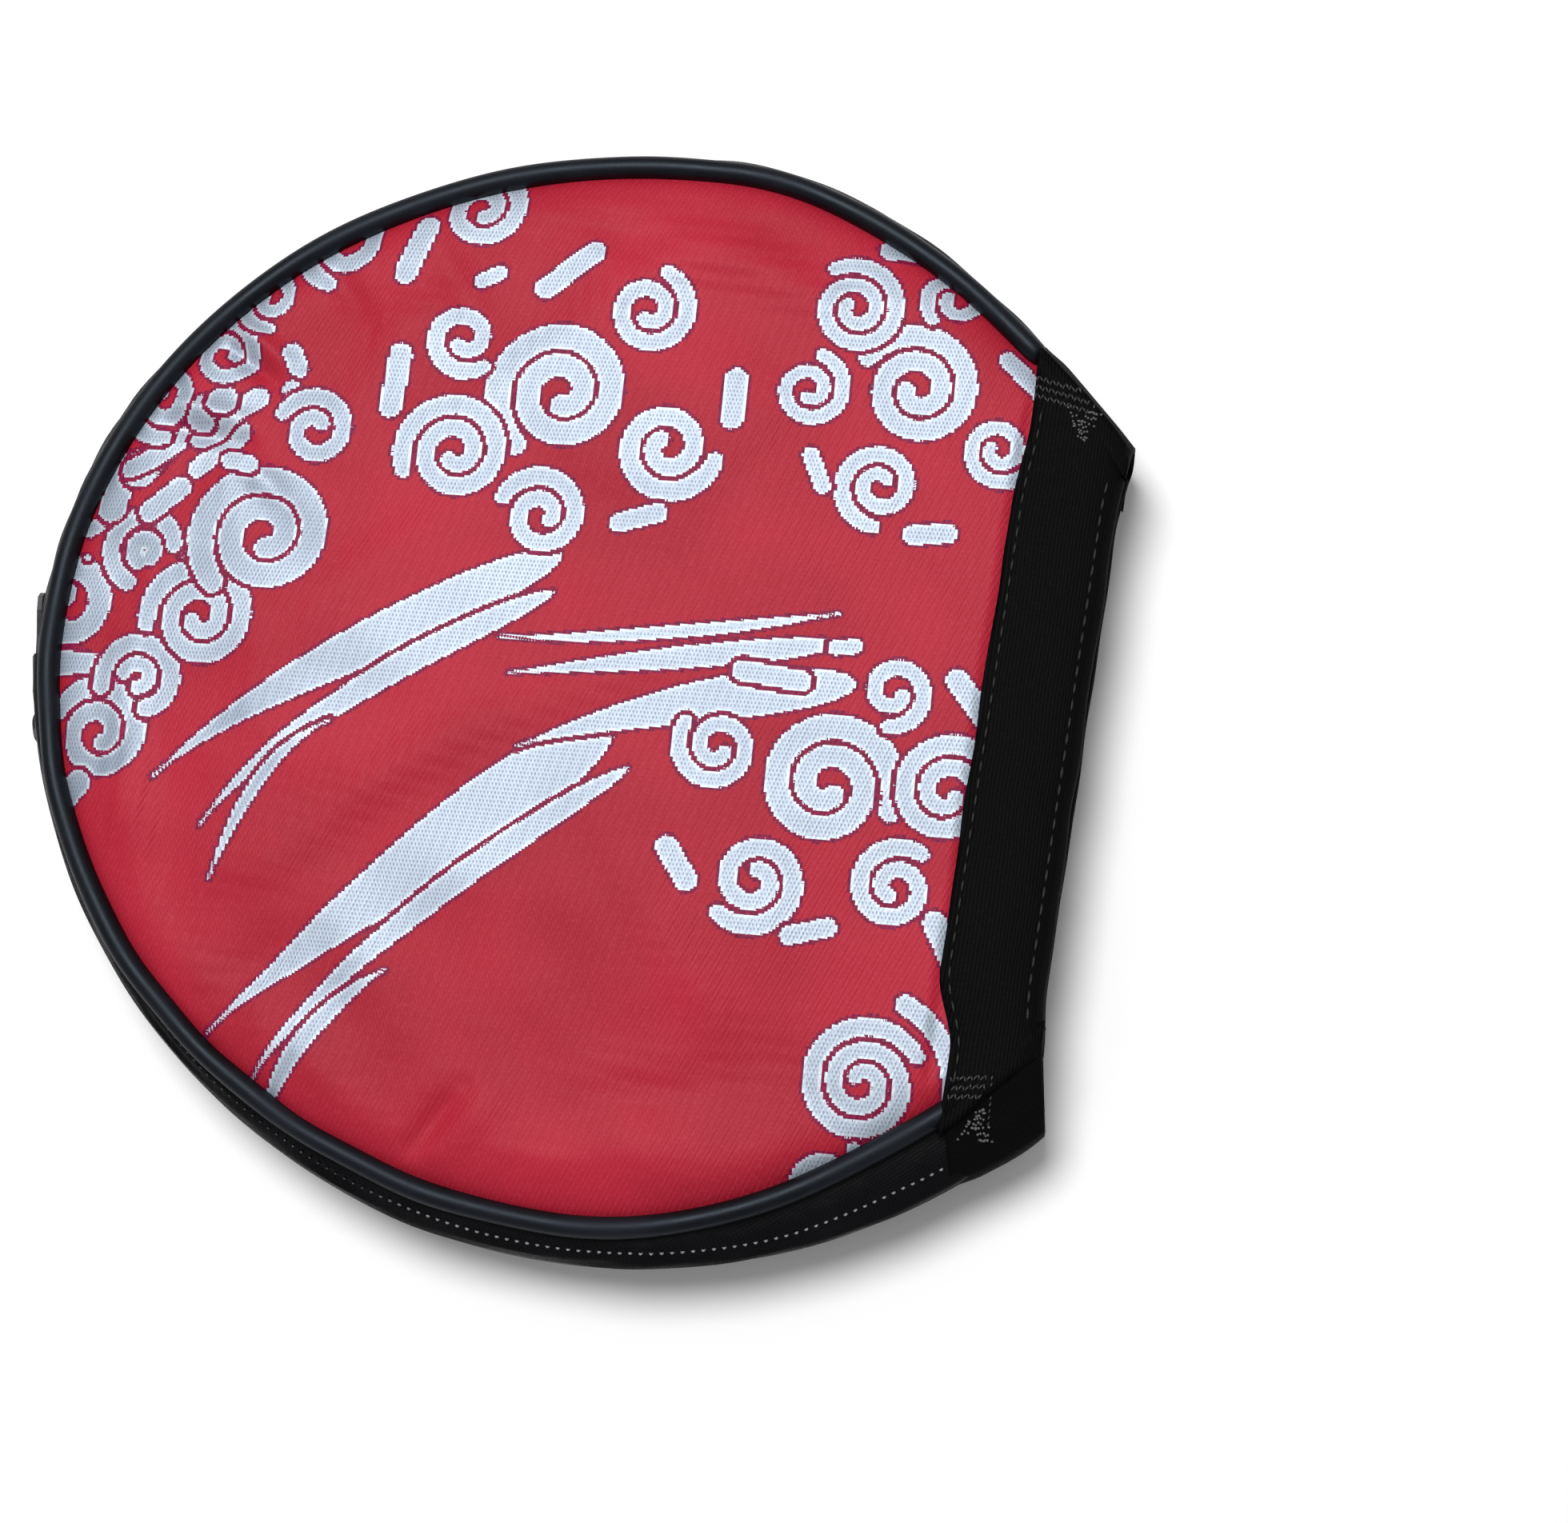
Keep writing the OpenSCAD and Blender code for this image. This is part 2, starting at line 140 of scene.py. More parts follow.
def even_p(a, b, step):
    """Values of p from a to b whose points lie about step millimetres apart."""
    fine = np.linspace(a, b, 1500)
    run = run_along(rim(fine))
    return np.interp(np.linspace(0, run[-1], int(run[-1] / step) + 2), run, fine)


# ---------- smooth noise that repeats on every run ----------
class Ripple:
    """A sum of waves in random directions: a soft, wide-ranging height over the plane."""

    def __init__(self, seed, wavelength, waves=14):
        r = np.random.default_rng(seed)
        a = r.uniform(0, 2 * np.pi, waves)
        k = 2 * np.pi / (wavelength * r.uniform(0.6, 1.8, waves))
        self.k = np.stack([k * np.cos(a), k * np.sin(a)], -1)
        self.phase = r.uniform(0, 2 * np.pi, waves)
        self.scale = 1 / math.sqrt(waves / 2)

    def __call__(self, x, y):
        q = np.asarray(x)[..., None] * self.k[:, 0] + np.asarray(y)[..., None] * self.k[:, 1]
        return np.sin(q + self.phase).sum(-1) * self.scale


# ---------- mesh helpers ----------
def placed(name, data):
    """A new object in the scene."""
    obj = bpy.data.objects.new(name, data)
    bpy.context.scene.collection.objects.link(obj)
    return obj


def mesh_object(name, verts, faces, scale):
    """A mesh in the scene; scale turns its points' unit into metres."""
    mesh = bpy.data.meshes.new(name)
    points = (np.asarray(verts, float) * scale).tolist()
    mesh.from_pydata(points, [], [tuple(int(i) for i in f) for f in faces])
    return placed(name, mesh)


def piece(name, verts, faces, mat, body="cover", slot=None, stands_for=(), smooth_shade=True, bevel=0.0):
    """A mesh object from millimetre points, riding on a body."""
    obj = mesh_object(name, verts, faces, MM)
    obj.data.update()
    obj.data.polygons.foreach_set("use_smooth", [smooth_shade] * len(obj.data.polygons))
    obj.data.materials.append(mat)
    if bevel:
        m = obj.modifiers.new("soft_edges", "BEVEL")
        m.width = bevel * MM
        m.segments = 2
        m.limit_method = "ANGLE"
    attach(obj, body)
    for node in stands_for:
        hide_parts(node)
    return obj


def skin(rings, caps=True):
    """Quads over rings of equal length; each ring is a loop, and caps close both ends."""
    rings = np.asarray(rings)
    m, n = rings.shape[:2]
    i = np.arange(m - 1)[:, None]
    j = np.arange(n)[None, :]
    k, i2 = (j + 1) % n, i + 1
    faces = np.stack([i * n + j, i * n + k, i2 * n + k, i2 * n + j], -1).reshape(-1, 4).tolist()
    if caps:
        for base, turn in ((0, True), ((m - 1) * n, False)):
            for q in range(n // 2 - 1):
                f = [base + q, base + q + 1, base + n - 2 - q, base + n - 1 - q]
                faces.append(f[::-1] if turn else f)
    return rings.reshape(-1, 3), faces


def ring_points(p, section, direction, reach):
    """Section points are (share of reach, extra outward, z); returns one ring of 3-D points for each p."""
    s = np.asarray(section, float)
    o, u = rim(p), direction
    out = s[None, :, 0] * reach[:, None] + s[None, :, 1]
    xy = o[:, None, :] + u[:, None, :] * out[..., None]
    return np.concatenate([xy, np.broadcast_to(s[None, :, 2:3], (*out.shape, 1))], -1)


def chains(outer, inner):
    return list(outer) + list(inner)[::-1]


def flip(section):
    return [(f, d, CASE_H - z) for f, d, z in section][::-1]


def thicken(chain, t):
    """The other face of a fabric strip: each point moved by t, square to the chain."""
    c = np.asarray(chain, float)
    g = np.gradient(c[:, 1:3] + np.stack([c[:, 0] * 6.0, np.zeros(len(c))], -1), axis=0)
    n = unit(np.stack([g[:, 1], -g[:, 0]], -1))
    return [(f, d + t * a, z + t * b) for (f, d, z), (a, b) in zip(chain, n)]


def capsule(a, b, r, up, sides=6, rings=5):
    """A short thread stitch from a to b that dips into the cloth at both ends."""
    a, b, up = np.asarray(a, float), np.asarray(b, float), np.asarray(up, float)
    along = unit(b - a)
    across = unit(np.cross(along, up))
    lift = np.cross(across, along)
    t = np.linspace(0, 1, rings)
    arch = np.sin(np.pi * t) ** 0.6
    mid = a + np.outer(t, b - a) + np.outer(arch * r * 0.9 - r * 0.5, lift)
    q = np.linspace(0, 2 * np.pi, sides, endpoint=False)
    thick = r * (0.45 + 0.55 * arch)[:, None, None]
    body = mid[:, None, :] + thick * (np.cos(q)[:, None] * across + np.sin(q)[:, None] * lift)[None]
    verts = body.reshape(-1, 3)
    faces = []
    for i in range(0, (rings - 1) * sides, sides):
        for j in range(sides):
            k = (j + 1) % sides
            faces.append([i + j, i + k, i + sides + k, i + sides + j])
    faces.append(list(range(sides))[::-1])
    faces.append([(rings - 1) * sides + j for j in range(sides)])
    return verts, faces


def merge(parts):
    verts, faces, base = [], [], 0
    for v, f in parts:
        verts.append(v)
        faces += [[i + base for i in g] for g in f]
        base += len(v)
    return np.concatenate(verts), faces


def stitches(path, up, pitch, share, r):
    """Stitches laid along a path of points; up holds each point's outward direction, and share is the part
    of the pitch that a stitch covers."""
    path, up = np.asarray(path, float), np.asarray(up, float)
    run = run_along(path)
    count = int(run[-1] / pitch)

    def at(s, arr):
        return np.stack([np.interp(s, run, arr[:, k]) for k in range(3)], -1)
    out = []
    for i in range(count):
        s0 = (i + 0.5 - share / 2) * pitch
        out.append(capsule(at(s0, path), at(s0 + share * pitch, path), r, at(s0 + share * pitch / 2, up)))
    return out


def box_mesh(lo, hi):
    (x0, y0, z0), (x1, y1, z1) = lo, hi
    v = [(x, y, z) for x in (x0, x1) for y in (y0, y1) for z in (z0, z1)]
    f = [(0, 1, 3, 2), (4, 6, 7, 5), (0, 4, 5, 1), (2, 3, 7, 6), (0, 2, 6, 4), (1, 5, 7, 3)]
    return np.array(v, float), [list(q) for q in f]


def prism(outline, z0, z1):
    """A plate from an outline of (a, b) points between two heights; returns points (a, b, height)."""
    o = np.asarray(outline, float)
    n = len(o)
    v = np.concatenate([np.c_[o, np.full(n, z0)], np.c_[o, np.full(n, z1)]])
    f = [[i, (i + 1) % n, n + (i + 1) % n, n + i] for i in range(n)]
    return v, f + [list(range(n))[::-1], list(range(n, 2 * n))]


# ---------- materials ----------
class Nodes:
    """Short calls for building one material's node tree."""

    def __init__(self, name):
        self.mat = bpy.data.materials.new(name)
        self.mat.use_nodes = True
        self.tree = self.mat.node_tree
        self.bsdf = self.tree.nodes["Principled BSDF"]
        coord = self.tree.nodes.new("ShaderNodeTexCoord")
        self.place = self.vec("MULTIPLY", coord.outputs["Object"], (1000, 1000, 1000))

    def put(self, socket, value):
        if isinstance(value, bpy.types.NodeSocket):
            self.tree.links.new(value, socket)
        else:
            socket.default_value = value

    def node(self, kind, props=None, **inputs):
        n = self.tree.nodes.new(kind)
        for k, v in (props or {}).items():
            setattr(n, k, v)
        for k, v in inputs.items():
            self.put(n.inputs[k.replace("_", " ")], v)
        return n.outputs[0]

    def vec(self, op, a, b):
        n = self.tree.nodes.new("ShaderNodeVectorMath")
        n.operation = op
        self.put(n.inputs[0], a)
        self.put(n.inputs[1], b)
        return n.outputs[0]

    def math(self, op, a, b=0.0):
        n = self.tree.nodes.new("ShaderNodeMath")
        n.operation = op
        self.put(n.inputs[0], a)
        self.put(n.inputs[1], b)
        return n.outputs[0]

    def add(self, a, b):
        return self.math("ADD", a, b)

    def sub(self, a, b):
        return self.math("SUBTRACT", a, b)

    def mul(self, a, b):
        return self.math("MULTIPLY", a, b)

    def mix(self, fac, a, b):
        n = self.tree.nodes.new("ShaderNodeMix")
        n.data_type = "RGBA"
        self.put(n.inputs[0], fac)
        self.put(n.inputs[6], a)
        self.put(n.inputs[7], b)
        return n.outputs[2]

    def noise(self, scale, detail):
        return self.node("ShaderNodeTexNoise", Vector=self.place, Scale=scale, Detail=detail)

    def ramp(self, value, lo, hi, out_lo=0.0, out_hi=1.0):
        return self.node("ShaderNodeMapRange", Value=value, From_Min=lo, From_Max=hi, To_Min=out_lo,
                         To_Max=out_hi)

    def axes(self, turn=0.0):
        """The three coordinates in millimetres, turned about z."""
        r = self.node("ShaderNodeVectorRotate", props={"rotation_type": "Z_AXIS"}, Vector=self.place,
                      Angle=turn)
        n = self.tree.nodes.new("ShaderNodeSeparateXYZ")
        self.put(n.inputs[0], r)
        return n.outputs

    def wave(self, value, period):
        return self.math("SINE", self.mul(value, 2 * math.pi / period))

    def bump(self, height, strength, distance, base=None):
        n = self.tree.nodes.new("ShaderNodeBump")
        self.put(n.inputs["Height"], height)
        n.inputs["Strength"].default_value = strength
        n.inputs["Distance"].default_value = distance * MM
        if base is not None:
            self.put(n.inputs["Normal"], base)
        return n.outputs[0]

    def finish(self, **sockets):
        for k, v in sockets.items():
            self.put(self.bsdf.inputs[k.replace("_", " ")], v)
        return self.mat


WEAVE_TURN = math.radians(-4)     # the cloth's threads lie a few degrees off the case's length
FLOAT_X, FLOAT_Y = 0.36, 0.46     # size of one figured float, across and along the case
OUTLINE = 0.5                     # width of the dark line round every silver shape


def figured_cloth():
    """Red figured cloth. The figure attribute holds the distance to the nearest silver edge and its slope,
    so that the edge can be stepped thread by thread."""
    n = Nodes("figured_cloth")
    attr = n.tree.nodes.new("ShaderNodeAttribute")
    attr.attribute_name = "figure"
    sep = n.tree.nodes.new("ShaderNodeSeparateXYZ")
    n.put(sep.inputs[0], attr.outputs["Vector"])
    x, y, _ = n.axes(WEAVE_TURN)
    off_x = n.sub(n.sub(x, n.math("SNAP", x, FLOAT_X)), FLOAT_X / 2)
    off_y = n.sub(n.sub(y, n.math("SNAP", y, FLOAT_Y)), FLOAT_Y / 2)
    step = n.add(n.mul(sep.outputs[1], off_x), n.mul(sep.outputs[2], off_y))
    edge = n.sub(sep.outputs[0], step)
    silver = n.math("LESS_THAN", edge, 0.0)
    dark_line = n.mul(n.math("LESS_THAN", edge, OUTLINE), n.sub(1.0, silver))
    # weave: staggered floats, and a slanting rib on the red ground
    dots = n.mul(n.wave(x, 1.34), n.wave(y, 0.56))
    rib = n.wave(n.add(n.mul(x, 0.45), n.mul(y, 0.89)), 0.75)
    grain = n.noise(1.9, 2.0)
    wear = n.noise(0.035, 3.0)
    patch = n.noise(0.05, 2.0)
    red = n.mix(n.ramp(wear, 0.35, 0.65), (0.33, 0.009, 0.024, 1), (0.41, 0.013, 0.034, 1))
    red = n.mix(n.ramp(rib, -1, 1, 0.0, 0.22), red, (0.20, 0.004, 0.012, 1))
    red = n.mix(n.ramp(grain, 0.5, 0.75, 0.0, 0.22), red, (0.52, 0.045, 0.08, 1))
    inner = n.ramp(edge, -0.75, -0.35, 1.0, 0.0)
    # painted shade: grey patches on the silver, stronger towards the head, stand in for its sheen changing
    # with the angle
    painted_shade = n.mul(n.ramp(patch, 0.7, 0.3), n.ramp(y, 40, 70, 0.3, 1.0))
    pale = n.mix(painted_shade, (0.46, 0.53, 0.62, 1), (0.24, 0.29, 0.36, 1))
    pale = n.mix(n.mul(n.ramp(dots, 0.25, 0.7, 0.0, 0.9), inner), pale, (0.20, 0.22, 0.29, 1))
    pale = n.mix(n.ramp(edge, -0.45, -0.15, 0.0, 0.6), pale, (0.66, 0.72, 0.78, 1))
    plum = n.mix(n.ramp(grain, 0.4, 0.65), (0.14, 0.003, 0.030, 1), (0.25, 0.007, 0.060, 1))
    colour = n.mix(dark_line, n.mix(silver, red, pale), plum)
    height = n.add(n.mul(dots, 0.45), n.mul(rib, 0.35))
    height = n.add(height, n.mul(grain, 0.6))
    height = n.add(height, n.mul(silver, 0.5))
    return n.finish(Base_Color=colour, Roughness=n.ramp(silver, 0, 1, 0.58, 0.54),
                    Normal=n.bump(height, 0.4, 0.09), Sheen_Weight=0.04, Sheen_Roughness=0.4,
                    Metallic=n.ramp(silver, 0, 1, 0.0, 0.3), Specular_IOR_Level=0.2)


def plain_weave(name, dark, light, pitch, rough, bump=0.35, sheen=0.15, ripple=0.0, gloss=0.22):
    """Black cloth with a plain weave that shows at its own scale."""
    n = Nodes(name)
    x, y, z = n.axes(math.radians(3))
    over = n.mul(n.wave(x, pitch), n.wave(n.add(y, z), pitch))
    wear = n.noise(0.09, 4.0)
    fine = n.noise(1.6, 3.0)
    colour = n.mix(n.ramp(over, -1, 1), (*dark, 1), (*light, 1))
    colour = n.mix(n.ramp(wear, 0.52, 0.75, 0.0, 0.35), colour, tuple(2.0 * c for c in light) + (1,))
    height = n.add(n.mul(over, 0.5), n.mul(fine, 0.7))
    bumped = n.bump(height, bump, 0.08)
    if ripple:
        bumped = n.bump(n.noise(0.25, 2.0), ripple, 1.0, bumped)
    return n.finish(Base_Color=colour, Roughness=n.ramp(fine, 0.3, 0.7, rough - 0.07, rough + 0.08),
                    Normal=bumped, Sheen_Weight=sheen, Sheen_Roughness=0.4, Specular_IOR_Level=gloss)


def vinyl():
    """Soft vinyl of the piping: a dull gloss with a faint hide grain and handled patches."""
    n = Nodes("vinyl")
    grain = n.node("ShaderNodeTexVoronoi", props={"feature": "DISTANCE_TO_EDGE"}, Vector=n.place, Scale=1.4)
    patch = n.noise(0.07, 3.0)
    colour = n.mix(n.ramp(patch, 0.4, 0.7), (0.0018, 0.002, 0.003, 1), (0.006, 0.0065, 0.009, 1))
    height = n.add(n.ramp(grain, 0.0, 0.25), n.mul(n.noise(0.35, 3.0), 3.0))
    return n.finish(Base_Color=colour, Roughness=n.ramp(patch, 0.3, 0.7, 0.40, 0.56),
                    Normal=n.bump(height, 0.09, 0.06), Specular_IOR_Level=0.22,
                    Specular_Tint=(0.72, 0.84, 1, 1))


def ribbed(name, dark, light, period, rough, angle=0.0):
    """Binding or zip tape: fine ribs across a dull black band."""
    n = Nodes(name)
    x, y, z = n.axes(angle)
    ribs = n.wave(n.add(y, z), period)
    cross = n.wave(x, period * 1.7)
    fuzz = n.noise(2.5, 3.0)
    colour = n.mix(n.ramp(ribs, -1, 1), (*dark, 1), (*light, 1))
    height = n.add(n.add(n.mul(ribs, 0.6), n.mul(cross, 0.25)), fuzz)
    return n.finish(Base_Color=colour, Roughness=n.ramp(fuzz, 0.3, 0.7, rough - 0.08, rough + 0.06),
                    Normal=n.bump(height, 0.4, 0.07), Specular_IOR_Level=0.045)


def spun_thread(name, dark, light, rough, glint_end_y=None):
    """Twisted thread or cord with slanting plies. Above a height y it may turn dull black; painted glints
    end there.
    """
    n = Nodes(name)
    x, y, z = n.axes(0.6)
    ply = n.wave(n.add(n.add(x, n.mul(z, 1.3)), n.mul(y, 0.5)), 0.28)
    fuzz = n.noise(3.0, 2.0)
    colour = n.mix(n.ramp(ply, -1, 1), (*dark, 1), (*light, 1))
    if glint_end_y is not None:
        colour = n.mix(n.ramp(y, glint_end_y - 12, glint_end_y), colour, (0.006, 0.006, 0.0065, 1))
    return n.finish(Base_Color=colour, Roughness=n.ramp(fuzz, 0.3, 0.7, rough - 0.06, rough + 0.06),
                    Normal=n.bump(n.add(ply, fuzz), 0.4, 0.04), Specular_IOR_Level=0.4)


def moulded(name, dark, light, rough, metallic=0.0, coat=0.0):
    """Moulded plastic or enamelled metal with slight mottling and rubbed edges."""
    n = Nodes(name)
    mottle, fine = n.noise(0.8, 4.0), n.noise(6.0, 2.0)
    geo = n.tree.nodes.new("ShaderNodeNewGeometry")
    edge = n.ramp(geo.outputs["Pointiness"], 0.53, 0.62)
    colour = n.mix(n.ramp(mottle, 0.35, 0.65), (*dark, 1), (*light, 1))
    colour = n.mix(n.mul(edge, 0.5), colour, tuple(min(1.0, 4 * c + 0.05) for c in light) + (1,))
    return n.finish(Base_Color=colour, Metallic=metallic, Coat_Weight=coat,
                    Roughness=n.ramp(fine, 0.3, 0.7, rough - 0.06, rough + 0.08),
                    Normal=n.bump(fine, 0.12, 0.03))


def open_cell_foam():
    n = Nodes("open_cell_foam")
    cells = n.node("ShaderNodeTexVoronoi", Vector=n.place, Scale=1.4)
    # painted shade: each cell is darker in its hollow middle, where the bump dips
    colour = n.mix(n.ramp(cells, 0.1, 0.6), (0.45, 0.44, 0.38, 1), (0.74, 0.73, 0.68, 1))
    return n.finish(Base_Color=colour, Roughness=n.ramp(cells, 0, 1, 0.85, 0.98),
                    Normal=n.bump(cells, 0.6, 0.25))


def floor_paint():
    n = Nodes("floor_paint")
    tone = n.noise(0.004, 2.0)
    return n.finish(Base_Color=n.mix(tone, (0.86, 0.86, 0.865, 1), (0.89, 0.89, 0.895, 1)),
                    Roughness=n.ramp(tone, 0, 1, 0.75, 0.85))


CLOTH = figured_cloth()
BACK_CLOTH = plain_weave("back_cloth", (0.006, 0.006, 0.007), (0.014, 0.014, 0.016), 1.1, 0.58,
                         sheen=0.05, ripple=0.1)
GUSSET_CLOTH = plain_weave("gusset_cloth", (0.0012, 0.0012, 0.0016), (0.004, 0.004, 0.005), 0.8, 0.42,
                           bump=0.3, sheen=0.0, ripple=0.2, gloss=0.07)
LINING = plain_weave("lining_cloth", (0.012, 0.012, 0.013), (0.03, 0.03, 0.032), 0.7, 0.55, bump=0.3,
                     sheen=0.1)
VINYL = vinyl()
BINDING = ribbed("binding_tape", (0.0008, 0.0008, 0.001), (0.0032, 0.0032, 0.0036), 0.55, 0.72)
ZIP_TAPE = ribbed("zip_tape_weave", (0.006, 0.006, 0.007), (0.016, 0.016, 0.018), 0.42, 0.62, 0.5)
DARK_THREAD = spun_thread("dull_thread", (0.003, 0.003, 0.003), (0.010, 0.010, 0.011), 0.5)
TACK_THREAD = spun_thread("tack_thread", (0.006, 0.006, 0.007), (0.040, 0.040, 0.043), 0.27)
# painted glints: the knot's black thread is coloured grey, lighter than the tack rows
KNOT_GLINT_THREAD = spun_thread("knot_thread_painted_glint", (0.04, 0.04, 0.042), (0.17, 0.17, 0.18), 0.27)
# painted glints: the zip's black thread is coloured light grey from the neck up to y = -18, then dull black
GLINT_THREAD = spun_thread("zip_thread_painted_glint", (0.10, 0.10, 0.105), (0.34, 0.34, 0.35), 0.3, -18)
CORD = spun_thread("filler_cord", (0.6, 0.6, 0.58), (0.86, 0.86, 0.84), 0.8)
TEETH = moulded("tooth_plastic", (0.014, 0.014, 0.015), (0.026, 0.026, 0.028), 0.3, coat=0.2)
STOP_METAL = moulded("stop_metal", (0.16, 0.16, 0.17), (0.24, 0.24, 0.25), 0.35, metallic=1.0)
ENAMEL = moulded("slider_enamel", (0.015, 0.015, 0.017), (0.03, 0.03, 0.033), 0.28, metallic=0.6, coat=0.3)
FOAM = open_cell_foam()


# ---------- figure woven into the front cloth ----------
# Places are (u, v): u runs towards the neck and v towards the zip side, from the case's origin.
# Every motif is a stroke: points with a half width at each.
FIGURE_SCALE = 1.009              # the figure is drawn this much smaller than it is woven
FIGURE_U, FIGURE_V = -0.16, 0.69  # and shifted by this much
GROOVE = 0.8                      # dark line between two turns of a scroll, or between two shapes
FAR = 6.0                         # stands for the distance where no silver edge is near


def polar(u, v, r, deg):
    a = np.radians(deg)
    return np.stack([u + r * np.cos(a), v + r * np.sin(a)], -1)


def scroll(u, v, pitch, turns, end_deg, hand=1, grow=0.06):
    """A silver band wound about a centre, widening outward and ending in a round tip."""
    t = np.linspace(0.0, turns, int(40 * turns) + 12)

    def groove(s):
        return pitch * s * (1 + grow * s)
    inner, outer = groove(t), groove(t + 1)
    half = (outer - inner - GROOVE) / 2
    tip = np.clip((turns - t) / 0.12, 0, 1) ** 0.5
    return polar(u, v, (inner + outer) / 2, end_deg + hand * 360 * (turns - t)), half * (0.8 + 0.2 * tip)


def arch(u, v, r0, r1, a0, a1, half, half_end=None):
    """A silver band along part of a turn, from angle a0 to a1."""
    t = np.linspace(0, 1, 60)
    return polar(u, v, r0 + (r1 - r0) * t, a0 + (a1 - a0) * t), half + ((half_end or half) - half) * t


def bar(u0, v0, u1, v1, h0, h1=None):
    t = np.linspace(0, 1, 30)
    h1 = h0 if h1 is None else h1
    return np.stack([u0 + (u1 - u0) * t, v0 + (v1 - v0) * t], -1), h0 + (h1 - h0) * t


def streak(tip, bend, end, half_w, rise=1.0, tail=0.5):
    """A curved blade, sharp at both ends. A larger rise keeps its tip slim for longer, and a smaller tail
    puts its widest place nearer its end."""
    t = np.linspace(0, 1, 160)
    a, b, c = (np.asarray(q, float) for q in (tip, bend, end))
    pts = np.outer((1 - t) ** 2, a) + np.outer(2 * t * (1 - t), b) + np.outer(t ** 2, c)
    run = run_along(pts)
    share = run / run[-1]
    half = share ** rise * (1 - share) ** tail
    return pts, np.maximum(half / half.max() * half_w, 0.25)


def fan(du, dv, turn, size):
    """Three streaks that spread from one side, as a group that can be moved, turned and scaled."""
    blades = [((-26, -13), (-8, -1), (16, 26), 3.8, 1.2, 0.5),
              ((-17, -22), (-4, -7), (20, 20), 2.0, 1.0, 0.5),
              ((-13, -27), (-1, -9), (24, 17), 1.1, 1.0, 0.9)]
    c, s = math.cos(math.radians(turn)) * size, math.sin(math.radians(turn)) * size

    def put(q):
        return (du + c * q[0] - s * q[1], dv + s * q[0] + c * q[1])
    return [streak(put(a), put(b), put(e), w * size, *shape) for a, b, e, w, *shape in blades]


def cloud_bank(du, dv, turn, size=1.0, hand=1):
    """A bank of scrolls with bars between them, as a group that can be moved, turned and scaled."""
    scrolls = [(0, 0, 3.9, 1.9, 135), (-17, 8, 3.1, 1.9, 165), (16, 10, 3.2, 1.6, 20),
               (-4, 19, 3.0, 1.5, 210), (14, -12, 2.9, 1.5, 300), (-15, -10, 3.0, 1.2, 60)]
    bars = [(-27, 0, -25, -8, 1.8), (-2, -17, 6, -22, 1.7), (27, 0, 26, 6, 1.8), (8, 21, 14, 20, 1.5),
            (-9, -20, -12, -19, 1.2)]
    c, s = math.cos(math.radians(turn)) * size, math.sin(math.radians(turn)) * size

    def put(a, b):
        return du + c * a - s * b * hand, dv + s * a + c * b * hand
    out = [scroll(*put(a, b), pitch * size, turns, turn + end * hand, hand)
           for a, b, pitch, turns, end in scrolls]
    return out + [bar(*put(a0, b0), *put(a1, b1), h * size) for a0, b0, a1, b1, h in bars]


